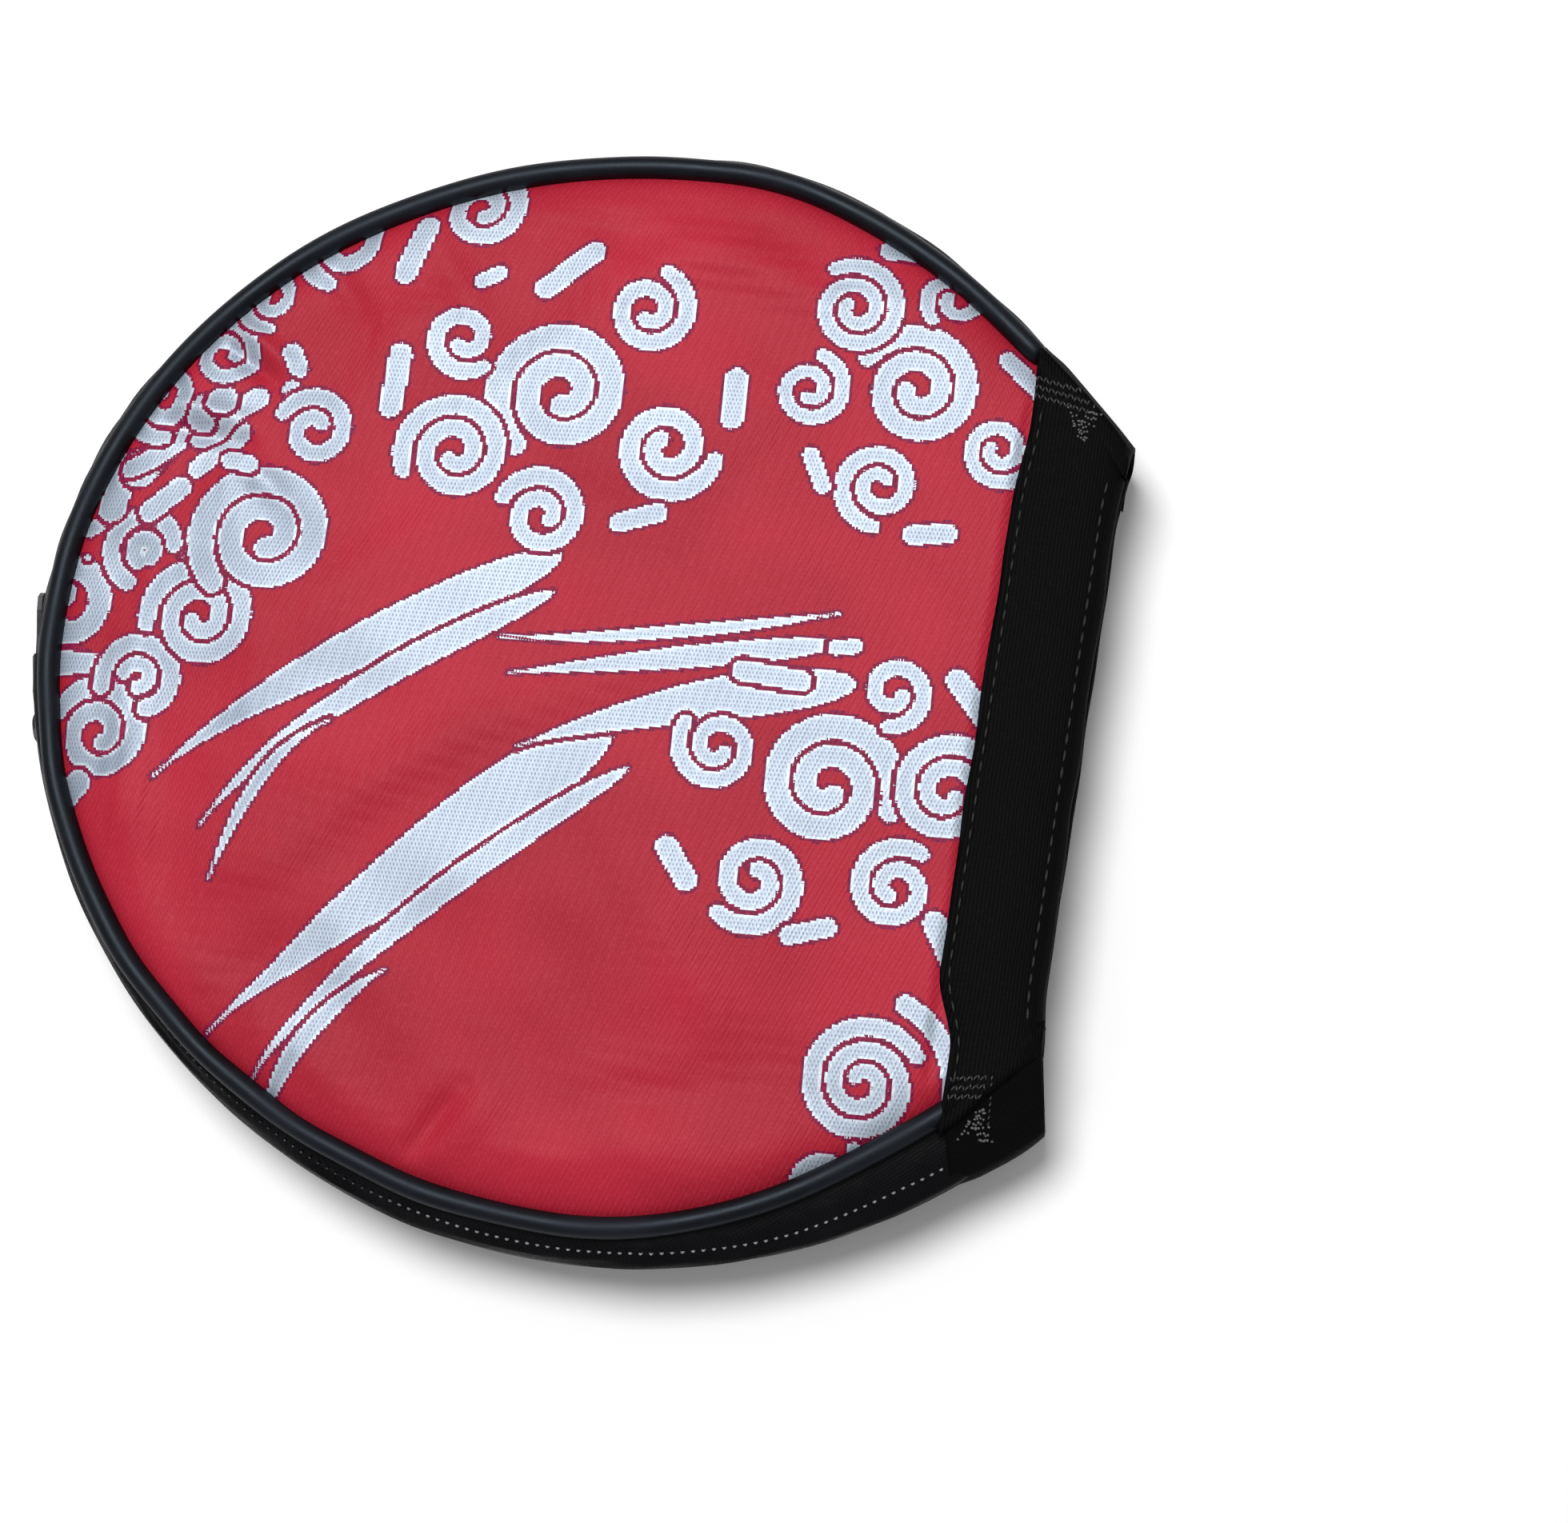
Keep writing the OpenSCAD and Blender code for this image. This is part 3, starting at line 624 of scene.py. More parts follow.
def figure_strokes():
    """The whole figure, from the head's scrolls to the neck's; later strokes lie over earlier ones."""
    head_scrolls = [
        scroll(-95.5, 1.5, 4.0, 1.5, 65), bar(-97, 10.5, -89.5, 10, 2.0, 1.6),
        scroll(-86.5, 20.5, 3.3, 1.6, 200), bar(-93, 33, -88.5, 28.5, 2.6, 2.0),
        arch(-81.5, 11.5, 6.2, 4.6, 165, 425, 1.45), arch(-81.8, 11.2, 2.4, 1.5, 190, 440, 1.1),
        scroll(-73.5, 0.5, 3.1, 1.95, 165), bar(-78.5, -9.5, -78.3, -11.2, 1.2, 1.0),
        arch(-84.7, -9, 5.9, 4.7, 108, 345, 1.4), arch(-84.7, -8.6, 1.9, 1.5, 110, 400, 1.35),
        scroll(-66, -13.5, 4.0, 1.85, 128), bar(-94.5, -11, -92.5, -12.5, 1.3),
        bar(-94.2, -6.5, -93.8, -6.4, 0.5), bar(-91.5, -15, -91, -22, 2.6, 2.2),
        bar(-88.3, -21.5, -82.5, -26, 3.1, 0.9), arch(-99, -44, 24.5, 23, 68, 30, 1.5, 1.9),
        bar(-85, -14.8, -81, -19.2, 1.7), bar(-79, -22.6, -73, -29.2, 1.5),
        bar(-74, -24.6, -71, -24.4, 1.4), bar(-79.5, -27.5, -71.5, -35, 1.7),
        bar(-80, -31.5, -77.8, -34.5, 2.8, 0.9), bar(-77, -33.8, -76.8, -33.6, 2.4, 2.2),
        scroll(-87, -33, 2.9, 1.45, 75), scroll(-78.5, -41.5, 2.75, 1.25, 265),
        scroll(-73, -51.5, 2.6, 1.3, 80), bar(-67.5, -43, -66, -40.5, 1.5),
        bar(-66.5, -37, -66.3, -36.8, 1.5), scroll(-61.5, -31, 3.0, 1.3, 200),
        scroll(-63, -62, 3.2, 1.5, 100), bar(-72, -60.5, -76, -56.5, 1.5, 1.0)]
    streaks = [
        streak((-76.5, 26), (-67, 13), (-20, -17), 3.6, 1.2),
        streak((-67.8, 32.2), (-57, 12), (-20, -11), 2.0),
        streak((-64.8, 40), (-61, 20), (-50.5, 13.5), 0.95, 1.0, 1.0),
        streak((-61.5, 63.2), (-43, 41), (-8, 8), 5.2, 1.35),
        streak((-54, 70.5), (-43, 46), (-4, 14), 1.9),
        streak((-51, 74.5), (-46, 57), (-35.5, 49.5), 1.4, 0.8, 0.9)]
    middle = [
        *cloud_bank(-24, -42, -12), *fan(0, -2, -62, 0.9), *cloud_bank(26, 12, 150, 0.95, -1),
        *cloud_bank(30, -50, 70, 0.85), scroll(-42, -70, 3.0, 1.5, 250), bar(-50, -66, -52, -58, 1.8)]
    neck_scrolls = [
        scroll(38, 55, 2.75, 2.3, 325, -1), arch(38, 55, 13.2, 13.2, -70, 55, 1.5),
        scroll(35, 70.5, 3.1, 1.4, 300), bar(49, 36, 45, 30, 1.8)]
    return head_scrolls + streaks + middle + neck_scrolls


def figure_field(x, y):
    """Distance to the nearest silver edge (negative inside) and its slope, at each point of the cloth.
    A later shape pushes earlier ones back by the width of a groove, so that shapes never merge."""
    u, v = FIGURE_U - y / FIGURE_SCALE, FIGURE_V - x / FIGURE_SCALE
    dist, slope_u, slope_v = np.full(len(u), FAR), np.zeros(len(u)), np.zeros(len(u))
    for pts, half in figure_strokes():
        reach = half.max() + 4
        lo, hi = pts.min(0) - reach, pts.max(0) + reach
        near = np.nonzero((u > lo[0]) & (u < hi[0]) & (v > lo[1]) & (v < hi[1]))[0]
        if not len(near):
            continue
        d, du, dv = np.full(len(near), 1e9), np.zeros(len(near)), np.zeros(len(near))
        for q, h in zip(pts, half):
            ou, ov = u[near] - q[0], v[near] - q[1]
            r = np.hypot(ou, ov) + 1e-9
            closer = r - h < d
            d = np.where(closer, r - h, d)
            du, dv = np.where(closer, ou / r, du), np.where(closer, ov / r, dv)
        old = dist[near]
        pushed = GROOVE - d > old
        back = np.where(pushed, GROOVE - d, old)
        over = d < back
        dist[near] = np.where(over, d, back)
        slope_u[near] = np.where(over, du, np.where(pushed, -du, slope_u[near]))
        slope_v[near] = np.where(over, dv, np.where(pushed, -dv, slope_v[near]))
    return dist, -slope_v, -slope_u


# ---------- front cloth ----------
LOOP = rim(np.linspace(0, 3, 900))


def edge_distance(x, y):
    """Distance inward from the seam line's sides and head, in chunks to keep memory small."""
    out = np.empty(len(x))
    for i in range(0, len(x), 4000):
        s = slice(i, i + 4000)
        out[s] = np.sqrt(((x[s, None] - LOOP[:, 0]) ** 2 + (y[s, None] - LOOP[:, 1]) ** 2).min(1))
    rise = (y - WIDEST_Y) / (HEAD_LEN - WIDEST_Y)
    head = SEAM_HALF_W * np.sqrt(np.clip(1 - rise ** 2, 0, 1))
    return np.where(np.abs(x) < np.where(rise > 0, head, half_width(y)), out, -out)


def crease(x, y, a, b, depth, width):
    """A valley (negative depth) or ridge along the line from a to b, fading at its ends."""
    a, b = np.asarray(a, float), np.asarray(b, float)
    ab = b - a
    t = ((x - a[0]) * ab[0] + (y - a[1]) * ab[1]) / (ab @ ab)
    tc = np.clip(t, 0, 1)
    d = np.hypot(x - a[0] - tc * ab[0], y - a[1] - tc * ab[1])
    fade = 0.35 + 0.65 * np.sin(np.pi * np.clip(t, 0.02, 0.98))
    return depth * np.exp(-(d / width) ** 2) * fade


def grid_cells(used):
    """Numbers the used points of a grid, and gives the four corners of each of its cells."""
    index = -np.ones(used.shape, int)
    index[used] = np.arange(used.sum())
    return index, np.stack([index[:-1, :-1], index[1:, :-1], index[1:, 1:], index[:-1, 1:]], -1)


SIM_STEP = 2.5                    # grid of the simulated cloth
SIM_SCALE = 0.01                  # metres to a millimetre: it is simulated at ten times its size
SIM_FRAMES = 25
SIM_LIFT = 0.4                    # how far above the padding it starts
SIM_GAP = 0.9                     # and how far below it the surface lies that holds it up


def simulated_slack():
    """Slack cloth pinned at its edge and laid on the padding: returns its height on a coarse grid."""
    xs = np.arange(-88, 88.1, SIM_STEP)
    ys = np.arange(-66, 100.1, SIM_STEP)
    gx, gy = np.meshgrid(xs, ys, indexing="ij")
    d = edge_distance(gx.ravel(), gy.ravel()).reshape(gx.shape)
    inside = (d > -SIM_STEP) & (gy > BAND_Y - 3)
    index, cells = grid_cells(inside)
    quads = cells[(cells >= 0).all(-1)]
    pad = Ripple(11, 55)(gx, gy) * 0.25
    verts = np.stack([gx[inside], gy[inside], pad[inside] + SIM_LIFT], -1)
    obj = mesh_object("slack", verts, quads, SIM_SCALE)
    under = mesh_object("slack_base", verts - [0, 0, SIM_GAP], quads, SIM_SCALE)
    under.modifiers.new("hold", "COLLISION")
    under.collision.thickness_outer = 0.002
    pins = obj.vertex_groups.new(name="pins")
    pins.add([int(i) for i in index[inside & ((d < 3.0) | (gy < BAND_Y + 2))]], 1.0, "REPLACE")
    cloth = obj.modifiers.new("slack", "CLOTH")
    s = cloth.settings
    s.quality = 6
    s.mass = 0.25
    s.tension_stiffness = s.compression_stiffness = 18
    s.shear_stiffness = 6
    s.bending_stiffness = 2.0
    s.vertex_group_mass = "pins"
    s.shrink_min = -0.022
    cloth.collision_settings.distance_min = 0.002
    scene = bpy.context.scene
    for f in range(1, SIM_FRAMES + 1):
        scene.frame_set(f)
    shaped = obj.evaluated_get(bpy.context.evaluated_depsgraph_get()).to_mesh()
    z = np.array([v.co.z for v in shaped.vertices]) / SIM_SCALE
    height = np.zeros(gx.shape)
    height[inside] = z - pad[inside]
    scene.frame_set(1)
    for o in (obj, under):
        bpy.data.objects.remove(o)
    for _ in range(2):
        height[1:-1, 1:-1] = (height[1:-1, 1:-1] * 2 + height[:-2, 1:-1] + height[2:, 1:-1]
                              + height[1:-1, :-2] + height[1:-1, 2:]) / 6
    return xs, ys, np.clip(height - SIM_LIFT, -0.9, 2.2)


def sample(xs, ys, grid, x, y):
    """The grid's value at each point, eased between its nodes."""
    fx = np.clip((x - xs[0]) / (xs[1] - xs[0]), 0, len(xs) - 1.001)
    fy = np.clip((y - ys[0]) / (ys[1] - ys[0]), 0, len(ys) - 1.001)
    i, j = fx.astype(int), fy.astype(int)
    a, b = fx - i, fy - j
    a, b = a * a * (3 - 2 * a), b * b * (3 - 2 * b)
    return (grid[i, j] * (1 - a) * (1 - b) + grid[i + 1, j] * a * (1 - b)
            + grid[i, j + 1] * (1 - a) * b + grid[i + 1, j + 1] * a * b)


# Folds of the front cloth: start, end (x, y), height and width
FOLDS = [((30.2, 86.5), (28.4, 72), -1.9, 1.6), ((34, 87), (32, 73), 1.5, 1.7),
         ((26, 73), (20, 64), -1.1, 2.2), ((45, 80.5), (39, 70), -1.9, 1.6),
         ((48.6, 79), (42.5, 69), 1.4, 1.7), ((60, 66), (50, 56), -1.0, 2.4),
         ((-77, 28), (-65, 21), -1.2, 2.0), ((-75, 22), (-64, 15), 0.7, 3.0),
         ((-74, 12), (-67, -26), 0.9, 5.0), ((-64, 8), (-58, -18), -0.6, 4.0),
         ((-60, -36), (-49, -10), -0.8, 4.5), ((66, 50), (52, 38), -0.9, 3.0),
         ((70, 30), (60, 14), 0.7, 4.0), ((-58, 62), (-46, 50), -0.7, 3.6)]
EDGE_Z, EDGE_RISE = SEAM_Z + 0.75, 2.85       # height at the piping, and how fast the cloth rises from it
CROWN = 1.5                       # how much higher the padding lifts the middle
UNDERSIDE_DROP = 2.0              # keeps the hidden side clear of the deepest fold
SLACK = simulated_slack()


def front_height(x, y, d, creased=True):
    """Top of the front cloth: tucked down at the piping, crowned by the padding, and softly creased.
    Without the creases it is the padding's own surface, a little lower."""
    near_neck = smooth((y - BAND_Y) / 40)
    z = EDGE_Z + EDGE_RISE * (1 - np.exp(-np.clip(d - 1.3, 0, None) / 2.6))
    z += CROWN * smooth(d / 48) * near_neck
    free = smooth((d - 2) / 8) * (0.2 + 0.8 * near_neck)
    z += 0.35 * Ripple(3, 60)(x, y) * free + 0.16 * Ripple(5, 24)(x, y) * free
    if SLACK:
        z += sample(*SLACK, x, y) * free * 0.8
    if creased:
        for a, b, depth, width in FOLDS:
            z += crease(x, y, a, b, depth, width) * smooth((d - 1.6) / 4.0)
    else:
        z -= UNDERSIDE_DROP * smooth((d - 1.6) / 4.0)
    below_band = CASE_H - 0.75 + 0.55 * np.clip(y - BAND_Y + 0.6, 0, None)
    return np.minimum(z, below_band)


CELL = 0.5                        # grid of the front cloth's mesh
BACK_CELL = 3.0                   # grid of its hidden side
CLOTH_T = 0.6


def boundary_edges(quads, count):
    """The directed edges that only one quad uses."""
    edges = np.concatenate([quads[:, [k, (k + 1) % 4]] for k in range(4)])
    key = edges.min(1) * count + edges.max(1)
    _, inverse, uses = np.unique(key, return_inverse=True, return_counts=True)
    return edges[uses[inverse] == 1]


def front_cloth():
    c, s = math.cos(WEAVE_TURN), math.sin(WEAVE_TURN)
    ga, gb = np.meshgrid(np.arange(-100, 100, CELL), np.arange(-80, 116, CELL), indexing="ij")
    gx, gy = c * ga + s * gb, -s * ga + c * gb
    d = edge_distance(gx.ravel(), gy.ravel()).reshape(gx.shape)
    keep = (d > CLOTH_INSET) & (gy > CLOTH_CUT)
    cell = keep[:-1, :-1] & keep[1:, :-1] & keep[1:, 1:] & keep[:-1, 1:]
    used = np.zeros(gx.shape, bool)
    for di in (0, 1):
        for dj in (0, 1):
            used[di:used.shape[0] - 1 + di, dj:used.shape[1] - 1 + dj] |= cell
    top = grid_cells(used)[1][cell]
    x, y, dd = gx[used], gy[used], d[used]
    n = len(x)
    verts = np.stack([x, y, front_height(x, y, dd)], -1)
    # hidden side: the same edge, but wide triangles within it
    rim_edges = boundary_edges(top, n)
    ring = np.unique(rim_edges)
    low_of = {int(v): n + k for k, v in enumerate(ring)}
    bx, by = np.meshgrid(np.arange(-90, 90, BACK_CELL), np.arange(-60, 100, BACK_CELL), indexing="ij")
    bd = edge_distance(bx.ravel(), by.ravel())
    inside = (bd > 2.2) & (by.ravel() > BAND_Y - 1.5)
    ix, iy, idd = bx.ravel()[inside], by.ravel()[inside], bd[inside]
    flat = [Vector(q[:2]) for q in verts[ring]] + [Vector(q) for q in zip(ix, iy)]
    links = [(low_of[int(a)] - n, low_of[int(b)] - n) for a, b in rim_edges]
    _, _, under, _, _, _ = delaunay_2d_cdt(flat, links, [], 1, 1e-4)
    low = np.concatenate([verts[ring], np.stack([ix, iy, front_height(ix, iy, idd, False)], -1)])
    low -= [0, 0, CLOTH_T]
    faces = top.tolist() + [[i + n for i in f][::-1] for f in under]
    faces += [[int(b), int(a), low_of[int(a)], low_of[int(b)]] for a, b in rim_edges]
    obj = piece("front_cloth", np.concatenate([verts, low]), faces, CLOTH, slot="woven_red",
                stands_for=["front_panel"])
    dist, slope_x, slope_y = figure_field(x, y)
    field = np.zeros((n + len(low), 3), np.float32)
    field[:, 0] = FAR
    field[:n] = np.stack([dist, c * slope_x - s * slope_y, s * slope_x + c * slope_y], -1)
    layer = obj.data.attributes.new(name="figure", type="FLOAT_VECTOR", domain="POINT")
    layer.data.foreach_set("vector", field.ravel())
    return obj


# ---------- panels ----------
def panel_loop(inset, y_cut, step=2.5):
    """Closed outline of a panel: round the seam line, then straight across the neck end."""
    p = even_p(p_at(y_cut), 3 - p_at(y_cut), step)
    side = rim(p) - normal(p) * inset
    side = side[side[:, 1] > y_cut - 0.01]
    across = np.linspace(side[-1, 0], side[0, 0], int((side[-1, 0] - side[0, 0]) / step) + 2)[1:-1]
    return np.concatenate([side, np.stack([across, np.full(len(across), y_cut)], -1)])


PANEL_MIDDLE = 0.0, 14.0          # where the rings of a panel's mesh shrink to
PANEL_RINGS = 26


def panel(name, inset, y_cut, top_z, bottom_z, mat, slot, node):
    """A closed panel whose top and bottom heights are functions of x, y and the share of the way in."""
    loop = panel_loop(inset, y_cut)
    centre = np.array(PANEL_MIDDLE)
    share = np.linspace(0, 1, PANEL_RINGS) ** 1.3         # rings closer together at the edge
    layers = []
    for s in share[:-1]:
        xy = centre + (loop - centre) * (1 - s)
        layers.append(np.c_[xy, top_z(xy[:, 0], xy[:, 1], s)])
    under = [np.c_[q[:, :2], bottom_z(q[:, 0], q[:, 1], s)] for q, s in zip(layers, share[:-1])]
    stack = under[::-1] + layers
    verts, faces = skin(stack, caps=False)
    n = len(loop)
    tips = [np.r_[centre, bottom_z(*centre, 1.0)], np.r_[centre, top_z(*centre, 1.0)]]
    base = len(verts)
    last = (len(stack) - 1) * n
    faces += [[base, (j + 1) % n, j] for j in range(n)]
    faces += [[base + 1, last + j, last + (j + 1) % n] for j in range(n)]
    return piece(name, np.concatenate([verts, tips]), faces, mat, slot=slot, stands_for=[node])


def declare_panel(obj, inset, y_cut):
    """A panel of cloth held flat by its sewn edge has its own outline as its cut; this works it out in
    metres and keeps nothing.
    """
    x, y = panel_loop(inset, y_cut).T * MM


def declare_strip(p):
    """A long strip of cloth is as long as its sewn edge; this works out that length in metres and keeps
    nothing.
    """
    float(run_along(rim(p))[-1] * MM)


wide, small = Ripple(21, 50), Ripple(22, 18)


def back_top(x, y, share):
    return 1.3 + 0.15 * wide(x, y) * min(1, share * 6)


def back_bottom(x, y, share):
    """Just off the floor, rounded up at the edge, and lifted where it goes under the neck band."""
    edge = 0.55 * np.exp(-share / 0.03) * (1 - smooth((BAND_Y + 9 - y) / 5))
    dents = 0.06 * (2 + small(x, y)) * min(1, share * 10)
    under_band = smooth((BAND_Y + 5 - y) / 5)
    return np.maximum(edge + dents, 0.03) + 0.75 * under_band


def lining_panel(word, top):
    """A flat lining. The back one has the front one's ripples with x and y exchanged."""
    def at(z):
        def height(x, y, share):
            a, b = (x, y) if word == "front" else (y, x)
            return z + (0.22 * wide(a, b) + 0.08 * small(a, b))
        return height
    lining = panel(word + "_lining_cloth", LINING_INSET, LINING_CUT, at(top), at(top - LINING_T), LINING,
                   "lining", word + "_lining")
    declare_panel(lining, LINING_INSET, LINING_CUT)


def foam_pad(word, mid, half_t):
    """A sheet of foam about a middle height, rounded over the first few hundredths of the way in."""
    def at(sign):
        return lambda x, y, share: mid + sign * half_t * (1 - np.exp(-share / 0.035)) + 0 * x
    pad = panel(word + "_pad", PAD_INSET, PAD_CUT, at(1), at(-1), FOAM, "foam", word + "_foam")


declare_panel(front_cloth(), CLOTH_INSET, CLOTH_CUT)
back = panel("back_cloth_panel", BACK_INSET, BACK_CUT, back_top, back_bottom, BACK_CLOTH, "black_cloth",
             "back_panel")
declare_panel(back, BACK_INSET, BACK_CUT)
lining_panel("front", 17.25)
lining_panel("back", 4.75)
foam_pad("front", 18.6, 0.9)
foam_pad("back", 2.8, 1.15)


# ---------- piping ----------
PIPE_P0 = p_at(BAND_Y - 5.5)      # the bead runs under the band on the zip side
PIPE_P1 = 3 - p_at(BAND_Y - 1.0)  # and ends at its edge on the plain side
CORNER_P = 0.034                  # how far the gusset pulls its end of the neck pieces outward, in p
CORNER_FLARE = 1.5                # how far the zip side's corner stands out
CORNER_PULL = 0.9                 # how far both ends of the band are pulled towards the mouth
INNER_PULL = 2.3                  # and how much further its inner edge is pulled on the zip side
CORNER_X, CORNER_RUN = 36, 12     # the pull begins this far from the middle and is full after this run


def spread_corner(points):
    """Near the ends of the mouth the band is pulled outward, its inner edge more so on the zip side."""
    q = np.array(points, float)
    at_end = smooth((np.abs(q[..., 0]) - CORNER_X) / CORNER_RUN) * smooth((-42 - q[..., 1]) / 5)
    inner = np.where(q[..., 0] < 0, INNER_PULL, 0.0) * smooth((q[..., 1] + 58) / 9)
    if q.shape[-1] == 3:          # the layer inside the mouth stays where it is
        inner = inner * smooth((np.abs(q[..., 2] - MID_Z) - 7) / 2)
    q[..., 1] -= (CORNER_PULL + inner) * at_end
    return q


def pipe_rings(z, front):
    """A round bead that rises and sinks slightly, flattened where it is sewn in."""
    p = even_p(PIPE_P0, PIPE_P1, 1.2)
    o, u = rim(p), normal(p)
    q = np.linspace(0, 2 * np.pi, 24, endpoint=False)
    wob = Ripple(31 if front else 32, 26)
    wide_r = PIPING_R * (1 + 0.02 * wob(o[:, 0], o[:, 1]))[:, None]
    side = 0.12 * wob(o[:, 1], o[:, 0])[:, None]
    end = np.clip(np.minimum(p - p[0], p[-1] - p) / 0.02, 0, 1)[:, None] ** 0.5
    out = side + wide_r * np.cos(q) * (0.75 + 0.25 * end)
    up = z + wide_r * np.sin(q) * (0.75 + 0.25 * end)
    xy = o[:, None, :] + u[:, None, :] * out[..., None]
    return np.concatenate([xy, np.broadcast_to(up[..., None], (*out.shape, 1))], -1)[:, ::-1]


# Sections of the bead's flat seam allowance and of the rounded binding over the raw edges inside
FLANGE = [(0, -0.8, SEAM_Z + 0.6), (0, -5.8, SEAM_Z + 0.35), (0, -5.8, SEAM_Z + 0.05),
          (0, -0.8, SEAM_Z + 0.1)]
SEAM_TAPE = [(0, -1.0, SEAM_Z - 0.1), (0, -0.6, SEAM_Z - 1.0), (0, -1.0, SEAM_Z - 2.0),
             (0, -2.2, SEAM_Z - 2.3), (0, -3.4, SEAM_Z - 2.1), (0, -3.8, SEAM_Z - 1.2),
             (0, -3.4, SEAM_Z - 0.3), (0, -2.2, SEAM_Z)]
for front, word in ((True, "front"), (False, "back")):
    bead = pipe_rings(PIPING_Z if front else CASE_H - PIPING_Z, front)
    piece(word + "_piping_bead", *skin(bead), VINYL, slot="piping", stands_for=[word + "_piping"])
    p = even_p(PIPE_P0 + 0.05, PIPE_P1 - 0.01, 3.0)
    flange = ring_points(p, (FLANGE if front else flip(FLANGE))[::-1], normal(p), 0 * p)
    piece(word + "_piping_flange", *skin(flange), VINYL, slot="piping")
    seam_tape = ring_points(p, SEAM_TAPE if front else flip(SEAM_TAPE), normal(p), 0 * p)
    piece(word + "_seam_tape", *skin(seam_tape), BINDING, slot="binding",
          stands_for=[word + "_seam_binding"])


# ---------- gusset ----------
def cloth_strip(name, p, chain, t, node, ripple, seed):
    """A strip of cloth swept round the case. ripple moves it in and out, less near its sewn edges."""
    sec = chains(chain, thicken(chain, -t))
    rings = ring_points(p, sec, gusset_dir(p), bulge(p))
    o = rim(p)
    n = len(chain)
    w = Ripple(seed, 22)
    weight = np.sin(np.linspace(0, np.pi, n))
    calm = smooth((np.minimum(p, 3 - p) - 0.18) / 0.12)      # flat under the tape at the mouth
    move = np.stack([w(o[:, 0] + 9 * k, o[:, 1]) * weight[k] * calm for k in range(n)], -1) * ripple
    move = np.concatenate([move, move[:, ::-1]], 1)
    rings[..., :2] += gusset_dir(p)[:, None, :] * move[..., None] * 0.6
    rings[..., 2] += move * 0.4
    return piece(name, *skin(rings), GUSSET_CLOTH, slot="gusset", stands_for=[node])


STRIP = [(0, 0.3, SEAM_Z + 0.6), (0.1, 0.4, SEAM_Z + 0.15), (0.25, 0.3, SEAM_Z - 0.1),
         (0.42, 0.2, SEAM_Z - 0.25), (0.6, 0.1, SEAM_Z - 0.55), (0.78, -0.1, STRIP_TOP + 0.65),
         (0.92, -0.2, STRIP_TOP + 0.3), (1, -0.35, STRIP_TOP), (1, -0.02, STRIP_TOP - 0.35),
         (1, 0.02, STRIP_TOP - 0.8), (1, -0.25, STRIP_TOP - 1.1)]
strip_p = even_p(0.012, JOIN_P - 0.004, 1.5)
for word, chain, seed in (("front", STRIP, 41), ("back", flip(STRIP), 42)):
    strip = cloth_strip("zip_strip_" + word, strip_p, chain, 0.8, "zip_gusset_" + word, 0.22, seed)
    declare_strip(strip_p)

ARCH_HALF = SEAM_Z - MID_Z
plain_chain = [(math.cos(a), 0.0, MID_Z + (ARCH_HALF + 0.5) * math.sin(a))
               for a in np.linspace(1.5, -1.5, 19)]
plain_p = even_p(JOIN_P + 0.001, 2.995, 1.8)
plain_side = cloth_strip("plain_side_cloth", plain_p, plain_chain, 1.0, "plain_gusset", 0.4, 43)
declare_strip(plain_p)


# ---------- zip ----------
def about_zip(points, deg):
    """Places points of (outward from the teeth, along the zip, up from the middle) at an angle round it."""
    q = np.asarray(points, float)
    a = math.radians(deg)
    r, t = TEETH_R + q[:, 0], q[:, 1]
    return np.stack([ZIP_CX + r * math.cos(a) - t * math.sin(a), ZIP_CY + r * math.sin(a) + t * math.cos(a),
                     MID_Z + q[:, 2]], -1)


def zip_arc(a0, a1, section, step=1.0):
    """A band round the zip; the section holds (outward from the teeth, up) points."""
    s = np.asarray(section, float)
    points = np.c_[s[:, 0], np.zeros(len(s)), s[:, 1]]
    return skin([about_zip(points, a) for a in np.arange(a0, a1 + step / 2, step)])


NECK_A = 180 + math.degrees(math.asin((NECK_LEN + ZIP_CY - 0.8) / ZIP_R))     # the tape ends at the neck
tape = [(-0.25, 1.2), (-0.12, 2.4), (-0.2, 3.5), (-0.8, 3.75), (-3.1, 3.75), (-3.1, 4.1), (-0.5, 4.1),
        (0.2, 3.7), (0.22, 2.5), (0.25, 1.2)]
for side, word in ((1, "front"), (-1, "back")):
    sec = [(a, side * b) for a, b in tape][::side]
    piece("zip_tape_cloth_" + word, *zip_arc(ZIP_A0, NECK_A, sec), ZIP_TAPE, slot="zip_tape",
          stands_for=["zip_tape_" + word])

# A tooth: a shank that grips the tape and a wider head that meshes with the other row
TOOTH = [(0.35, 2.25), (0.5, 2.1), (0.38, 1.2), (0.36, 0.75), (0.62, 0.45), (0.58, -0.12), (0.38, -0.3),
         (-0.38, -0.3), (-0.58, -0.12), (-0.62, 0.45), (-0.36, 0.75), (-0.38, 1.2), (-0.5, 2.1),
         (-0.35, 2.25)]
TOOTH_HALF_T = 0.85
pitch_deg = math.degrees(TOOTH_PITCH / TEETH_R)
for side, shift, word in ((1, 0.0, "front"), (-1, 0.5, "back")):
    v, f = prism(TOOTH, -TOOTH_HALF_T, TOOTH_HALF_T)
    pts = np.stack([v[:, 2], v[:, 0] + 0.5, side * v[:, 1]], -1)
    f = f if side > 0 else [g[::-1] for g in f]
    count = int((TEETH_A1 - TEETH_A0) / pitch_deg)
    parts = [(about_zip(pts, TEETH_A0 + (i + shift) * pitch_deg), f) for i in range(count)]
    piece("zip_row_" + word, *merge(parts), TEETH, slot="zip_teeth", stands_for=["zip_teeth_" + word],
          smooth_shade=False, bevel=0.12)

